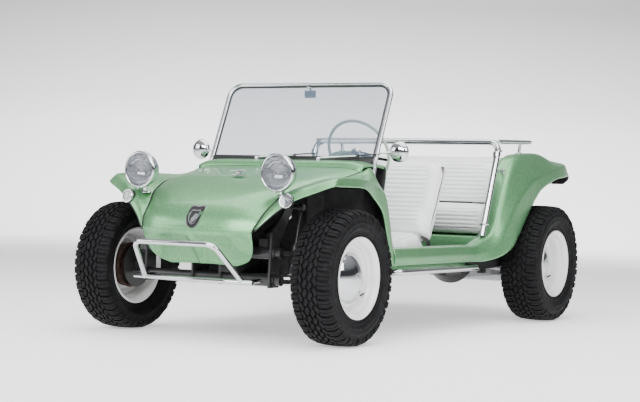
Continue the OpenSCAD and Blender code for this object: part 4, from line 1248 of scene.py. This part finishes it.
def cushion(name, ctrl, medial, xc, hw, r, p, pleats, corner=None, cap=0.008, pressure=4.0, body="chassis", border=62.0, rim_seam=True, cols=46, top_bottom=None, node=None, groove=6.5, sag=None):
    """A stuffed pad lofted across X from a closed side section.
    ctrl: side section (Y, Z); medial: its middle line; pleats: (from, to, count) arc lengths of the sewn channels."""
    lo, hi, cnt = pleats
    pitch = (hi - lo) / cnt
    raw = loop_points(ctrl)
    pts, total = resample(raw, lo - pitch, hi + pitch, pitch / 9.0, 11.0)
    med = [Vector(q) for q in medial]
    mids = [closest_on(med, q) for q, _ in pts]
    us = []
    for i in range(cols + 1):
        t = -1 + 2 * i / cols
        us.append(math.copysign(1 - (1 - abs(t)) ** 1.45, t))
    us = sorted(set(round(u, 6) for u in us))
    verts, info = [], []
    for u in us:
        for (q, s), m in zip(pts, mids):
            h = hw
            if corner:
                z0, R = corner
                if q.y > z0:
                    a = min(1.0, (q.y - z0) / R)
                    h = hw - R * (1 - math.sqrt(max(0.0, 1 - a * a)))
            x = u * h
            a = max(0.0, (abs(x) - (h - r)) / r)
            c = max(0.0, 1 - a ** p) ** (1 / p)
            y = m + (q - m) * c
            verts.append(V((xc + x, y.x, y.y)))
            info.append((x, s, h, c))
    n, k = len(us), len(pts)
    faces = []
    for i in range(n - 1):
        for j in range(k):
            j2 = (j + 1) % k
            faces.append((i * k + j, (i + 1) * k + j, (i + 1) * k + j2, i * k + j2))
    me = bpy.data.meshes.new(name)
    me.from_pydata([tuple(v) for v in verts], [], faces)
    o = link(bpy.data.objects.new(name, me))
    me.materials.append(VINYL)
    # weld the collapsed side lines but keep each vertex's place in the section
    bm = bmesh.new()
    bm.from_mesh(me)
    lx = bm.verts.layers.float.new("px")
    ls = bm.verts.layers.float.new("ps")
    lh = bm.verts.layers.float.new("ph")
    lc = bm.verts.layers.float.new("pc")
    for v, (x, s, h, c) in zip(bm.verts, info):
        v[lx], v[ls], v[lh], v[lc] = x, s, h, c
    bmesh.ops.remove_doubles(bm, verts=bm.verts[:], dist=2e-5)
    bmesh.ops.dissolve_degenerate(bm, dist=1e-6, edges=bm.edges[:])
    bmesh.ops.recalc_face_normals(bm, faces=bm.faces[:])
    bm.to_mesh(me)
    bm.free()
    inflate(o, pressure, cap, name)
    # sewn channels, border seam and small puckers, moved in along the normals
    bm = bmesh.new()
    bm.from_mesh(me)
    bm.normal_update()
    L = bm.verts.layers.float
    lx, ls, lh, lc = L["px"], L["ps"], L["ph"], L["pc"]
    moves = []
    for v in bm.verts:
        x, s, h, c = v[lx], v[ls], v[lh], v[lc]
        ax = abs(x)
        edge = h - border
        inside = 1 - step(ax, edge - 3, edge + 5)
        t = (s - lo) / pitch
        within = step(s, lo - 6, lo + 2) * (1 - step(s, hi - 2, hi + 6))
        phase = t + 0.035 * math.sin(x * 0.021 + math.floor(t) * 1.7)
        wave = abs(math.sin(math.pi * phase))
        d = -groove * (1 - wave) ** 2.6 * inside * within
        d += 1.6 * (wave ** 0.8) * inside * within
        # seam around the channelled panel
        if rim_seam and lo - 12 < s < hi + 12:
            d -= 4.2 * bell(ax - edge - 2, 3.6) * (step(s, lo - 10, lo) * (1 - step(s, hi, hi + 10)))
        for q in (lo, hi):
            d -= 3.6 * bell(s - q, 3.4) * (1 - step(ax, edge, edge + 8))
        if sag:
            d += sag(x, s)
        moves.append(v.normal * (d / 1000.0))
    for v, m in zip(bm.verts, moves):
        v.co += m
    for f in bm.faces:
        f.smooth = True
    for nm in ("px", "ps", "ph", "pc"):
        bm.verts.layers.float.remove(bm.verts.layers.float[nm])
    bm.to_mesh(me)
    bm.free()
    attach(o, body)
    if node:
        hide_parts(node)
    return o


def piping(name, pts, r=2.6):
    m = Mesh()
    v, f = sweep(smooth_row(pts, 6), r, 10)
    m.add(v, f)
    o = m.obj(name, VINYL, sharp=0)


BACK = [[1152, 566], [1176, 612], [1214, 676], [1252, 756], [1292, 848], [1330, 920], [1360, 962], [1386, 980], [1412, 985], [1434, 972], [1440, 946], [1424, 892], [1388, 796], [1348, 690], [1310, 590], [1284, 530], [1256, 502], [1212, 508], [1170, 534]]
BACKM = [[1218, 556], [1262, 650], [1320, 780], [1372, 890], [1402, 948]]
SEAT = [[830, 404], [808, 425], [806, 466], [818, 496], [850, 512], [900, 524], [960, 533], [1030, 541], [1085, 545], [1120, 536], [1156, 506], [1188, 472], [1192, 430], [1170, 408], [1090, 400], [990, 397], [900, 400]]
SEATM = [[846, 458], [920, 466], [1040, 470], [1138, 456]]


def front_seats():
    for s, nm in ((1, "left"), (-1, "right")):
        xc = s * 313
        cushion("front_seat_back_" + nm, BACK, BACKM, xc, 228, 52, 2.3, (62, 440, 13), corner=(898, 92), border=64, node="front_seat_" + nm)
        cushion("front_seat_cushion_" + nm, SEAT, SEATM, xc, 232, 40, 2.4, (62, 385, 10), border=58)
        m = Mesh()
        m.box((min(s * 122, s * 508), 852, 338.5), (max(s * 122, s * 508), 1178, 396), 6)
        m.box((min(s * 150, s * 168), 830, 338.5), (max(s * 150, s * 168), 1210, 352), 2)
        m.box((min(s * 462, s * 480), 830, 338.5), (max(s * 462, s * 480), 1210, 352), 2)
        o = m.obj("seat_base_" + nm, BLACK)
        # piping where the side panel meets the top of the cushion
        for q in (-1, 1):
            x = xc + q * 212
            piping("seat_piping_%s_%s" % (nm, "a" if q > 0 else "b"), [(x, 812, 430), (x, 809, 466), (x, 824, 501), (x, 862, 518), (x, 930, 530), (x, 1030, 543), (x, 1085, 547), (x, 1122, 538), (x, 1156, 508)])


BENCH = [[1960, 548], [1936, 560], [1926, 590], [1924, 640], [1928, 682], [1942, 704], [1972, 716], [2020, 722], [2064, 720], [2092, 710], [2104, 690], [2112, 640], [2116, 590], [2108, 556], [2070, 548]]
BENCHM = [[1978, 600], [1990, 656], [2040, 668], [2064, 650]]
RBACK = [[2046, 740], [2054, 810], [2072, 870], [2096, 934], [2120, 990], [2140, 1016], [2170, 1028], [2204, 1026], [2226, 1010], [2232, 980], [2222, 900], [2206, 780], [2192, 660], [2184, 600], [2172, 580], [2158, 612], [2138, 680], [2114, 726], [2076, 737]]
RBACKM = [[2096, 780], [2120, 850], [2154, 930], [2184, 990]]


def rear_seat():
    cushion("rear_bench_cushion", BENCH, BENCHM, 0, 554, 34, 2.6, (40, 168, 5), border=52, cols=70, node="rear_bench", cap=0.006, groove=9.0)
    cushion("rear_bench_back", RBACK, RBACKM, 0, 552, 40, 2.4, (14, 262, 9), border=56, cols=70, cap=0.008, groove=9.0)


front_seats()
rear_seat()


def ribbon(name, pts, width, across, thick=1.6, mat=None):
    """Flat webbing along a path; across is its width direction."""
    P = smooth_row(pts, 8)
    W = Vector(across)
    verts, faces = [], []
    n = len(P)
    for i in range(n):
        d = unit(P[min(i + 1, n - 1)] - P[max(i - 1, 0)])
        w = unit(W - d * W.dot(d))
        nn = d.cross(w)
        for a, b in ((-1, -1), (1, -1), (1, 1), (-1, 1)):
            verts.append(P[i] + w * (width / 2 * a) + nn * (thick / 2 * b))
    for i in range(n - 1):
        for j in range(4):
            k = (j + 1) % 4
            faces.append((i * 4 + j, i * 4 + k, (i + 1) * 4 + k, (i + 1) * 4 + j))
    faces.append((3, 2, 1, 0))
    faces.append(tuple((n - 1) * 4 + j for j in range(4)))
    m = Mesh()
    m.add(verts, faces)
    o = m.obj(name, mat or BELT)
    return o


def belts():
    for s, nm in ((1, "left"), (-1, "right")):
        ribbon("front_belt_" + nm, [(s * 470, 1158, 533), (s * 520, 1164, 532), (s * 551, 1174, 512), (s * 557, 1190, 470), (s * 559, 1206, 410), (s * 560, 1216, 344)], 44, (0, 1, 0.05), 2.0)
        ribbon("rear_belt_" + nm, [(s * 190, 2062, 733), (s * 260, 2064, 735), (s * 340, 2062, 734), (s * 410, 2064, 734)], 40, (0, 1, 0.1), 3.0)
        m = Mesh()
        m.box((min(s * 150, s * 205), 2046, 729), (max(s * 150, s * 205), 2082, 747), 4)
        m.box((min(s * 100, s * 152), 2050, 730), (max(s * 100, s * 152), 2078, 743), 3)
        o = m.obj("rear_buckle_" + nm, BLKPL)


belts()


# ---------------------------------------------------------------- controls
SWC = Vector((240, 900, 1006))
TILT = Matrix.Rotation(math.radians(116), 3, "X")


def W_(p):
    return TILT @ Vector(p) + SWC


def controls():
    m = Mesh()
    ring = [W_((190 * math.cos(t), 190 * math.sin(t), 0)) for t in [2 * math.pi * i / 120 for i in range(120)]]
    v, f = sweep(ring, 8.8, 20, closed=True)
    m.add(v, f)
    o = m.obj("steering_wheel_rim", PALE, "steering_wheel", sharp=0)
    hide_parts("steering_wheel")
    m = Mesh()
    for a in (195, 270, 345):
        t = math.radians(a)
        c, s = math.cos(t), math.sin(t)
        pts = [W_((c * q, s * q, z)) for q, z in ((24, 34), (70, 27), (120, 14), (182, 1))]
        P = smooth_row(pts, 5)
        n = len(P)
        wv = unit(TILT @ Vector((-s, c, 0)))
        verts, faces = [], []
        for i in range(n):
            d = unit(P[min(i + 1, n - 1)] - P[max(i - 1, 0)])
            nn = d.cross(wv)
            half = 13 - 4.0 * i / (n - 1)
            for a_, b_ in ((-1, -1), (1, -1), (1, 1), (-1, 1)):
                verts.append(P[i] + wv * (half * a_) + nn * (1.6 * b_))
        for i in range(n - 1):
            for j in range(4):
                k = (j + 1) % 4
                faces.append((i * 4 + j, i * 4 + k, (i + 1) * 4 + k, (i + 1) * 4 + j))
        faces.append((3, 2, 1, 0))
        faces.append(tuple((n - 1) * 4 + j for j in range(4)))
        m.add(verts, faces)
    m.lathe([(0, 18), (30, 18), (34, 21), (34, 40), (30, 44), (0, 44)], SWC, TILT @ Vector((0, 0, 1)), 48)
    o = m.obj("steering_wheel_spokes", ALU, "steering_wheel")
    m = Mesh()
    m.lathe([(27, 16.5), (26, 13), (20, 10), (10, 8.4), (0, 8), (0, 18), (27, 18)], SWC, TILT @ Vector((0, 0, 1)), 40)
    o = m.obj("horn_button", BLKPL, "steering_wheel")
    m = Mesh()
    m.tube([[0, 700, 444], [0, 735, 545], [0, 790, 660]], 7, sides=16, smooth_k=6)
    m.lathe([(0, 21), (9, 19.5), (17, 13), (21, 3), (20, -7), (13, -16), (8, -20), (0, -20)], (0, 793, 668), (0, 0.4, 0.9), 32)
    m.tube([[0, 1010, 446], [0, 940, 512], [0, 880, 560]], 8, sides=16)
    o = m.obj("gear_and_brake_levers", CHROME)
    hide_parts("shift_levers")
    m = Mesh()
    m.lathe([(34, 0), (32, 6), (26, 12), (22, 24), (17, 32), (13, 46), (8.5, 56), (8, 56), (8, 0)], (0, 702, 446), (0, 0.32, 0.94), 28, 0, closed=True)
    m.box((-30, 668, 438.5), (30, 742, 447), 3)
    m.box((-24, 980, 440.5), (24, 1050, 462), 6)
    m.tube([[0, 925, 524], [0, 868, 570]], 12, sides=18)
    o = m.obj("lever_boots", BLKPL)


controls()


def cockpit():
    """Gauge rings and faces, switches and a plate on the passenger side of the dash."""
    m = Mesh()
    c = Vector((240, 676.5, 872))
    for x, r in ((150, 26), (240, 42), (330, 26)):
        m.lathe([(r, 0), (r + 4, 0), (r + 4, 4), (r, 6), (r - 3, 3)], (x, 676, 868 if r > 30 else 872), (0, 1, 0), 40)
    o = m.obj("gauge_rings", CHROME)
    m = Mesh()
    for x, r in ((150, 26), (240, 42), (330, 26)):
        m.lathe([(0, 2.5), (r, 2.5), (r, 0), (0, 0)], (x, 676, 868 if r > 30 else 872), (0, 1, 0), 40)
    for x in (60, 30, 0, -30):
        m.lathe([(0, 16), (6, 16), (7, 13), (4, 3), (9, 2), (9, 0), (0, 0)], (x, 676, 872), (0, 1, 0), 20)
    o = m.obj("gauge_faces_and_switches", BLKPL)
    m = Mesh()
    # panel on the passenger side
    m.box((-300, 674, 846), (-180, 679, 880), 2)
    o = m.obj("dash_plate", ALU)


cockpit()


def nose_trim():
    # blank shield on the nose, lying on the hood's surface
    def on_hood(x, z):
        # the hood's middle line by height
        P = smooth_row([Vector((0, a, b)) for a, b in HC[3:8]], 30)
        E = smooth_row(HE[3:8], 30)
        i = min(range(len(P)), key=lambda k: abs(P[k].z - z))
        w = min(1.0, abs(x / E[i].x)) ** 3.8
        return P[i].y + (E[i].y - P[i].y) * w
    shield = [(-45, 55), (-30, 60), (0, 56), (30, 60), (45, 55), (47, 10), (41, -26), (27, -50), (0, -64), (-27, -50), (-41, -26), (-47, 10)]
    m = Mesh()

    def plate(scale, h0, h1, mi):
        out = smooth_row([Vector((a, 0, b)) for a, b in shield + [shield[0]]], 4)[:-1]
        n = len(out)
        lo = [Vector((8 + p.x * scale, on_hood(8 + p.x * scale, 630 + p.z * scale) - h0, 630 + p.z * scale)) for p in out]
        hi = [Vector((8 + p.x * scale, on_hood(8 + p.x * scale, 630 + p.z * scale) - h1, 630 + p.z * scale)) for p in out]
        f = [tuple(range(n)), tuple(range(n, 2 * n))[::-1]] + [(i, n + i, n + (i + 1) % n, (i + 1) % n) for i in range(n)]
        m.add(lo + hi, f, mi)
    plate(1.0, -2, 4.2, 0)
    plate(0.90, 2, 5.0, 1)
    plate(0.60, 4.2, 6.0, 0)
    plate(0.52, 5.0, 6.6, 1)
    o = m.obj("nose_shield_blank", BLKPL, mats=[ALU, BLKPL])

    m = Mesh()
    R = Matrix.Rotation(math.radians(9), 3, "X")
    m.box((-34, 30, 846), (34, 68, 852), 2, rot=R, about=(0, 30, 846))
    m.box((-12, 36, 851), (12, 62, 866), 4, rot=R, about=(0, 36, 852))
    m.tube([[-48, 47, 870], [-20, 46, 873], [20, 46, 873], [48, 47, 870]], 5, sides=14)
    o = m.obj("hood_latch_handle", CHROME)
    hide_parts("hood_latch")


nose_trim()

# ---------------------------------------------------------------- finish
def node_mats():
    table = {
        "floor_pan": UNDER, "front_axle_beam": BLACK, "front_trailing_arms": BLACK, "front_shocks": BLACK, "hood_latch": CHROME, "footwell": UNDER,
        "rear_tub": GREEN, "windshield_frame": ALU, "windshield_glass": GLASS, "wipers": BLKPL, "mirrors": CHROME, "front_bumper": CHROME, "roll_bar": CHROME,
        "side_steps": CHROME, "headlights": CHROME, "turn_signals": LENS, "tail_lights": REDL, "front_seat_left": VINYL, "front_seat_right": VINYL,
        "rear_bench": VINYL, "steering_column": BLACK, "shift_levers": CHROME, "foot_pedals": BLKPL, "transaxle": BLACK, "rear_suspension": BLACK,
        "rear_shocks": STEEL, "engine_block": CAST, "fan_shroud": BLACK, "exhaust": BLACK, "rear_bumper": CHROME, "knuckle_left": BLACK, "knuckle_right": BLACK,
        "tie_rod": BLACK, "steering_wheel": PALE,
    }
    for w in ("front_left", "front_right", "rear_left", "rear_right"):
        table["tyre_" + w] = RUBBER
        table["wheel_" + w] = WHITE
    for n, o in NODES.items():
        if o.hide_render:
            continue
        o.data.materials.clear()
        o.data.materials.append(table.get(n, BLACK))


node_mats()
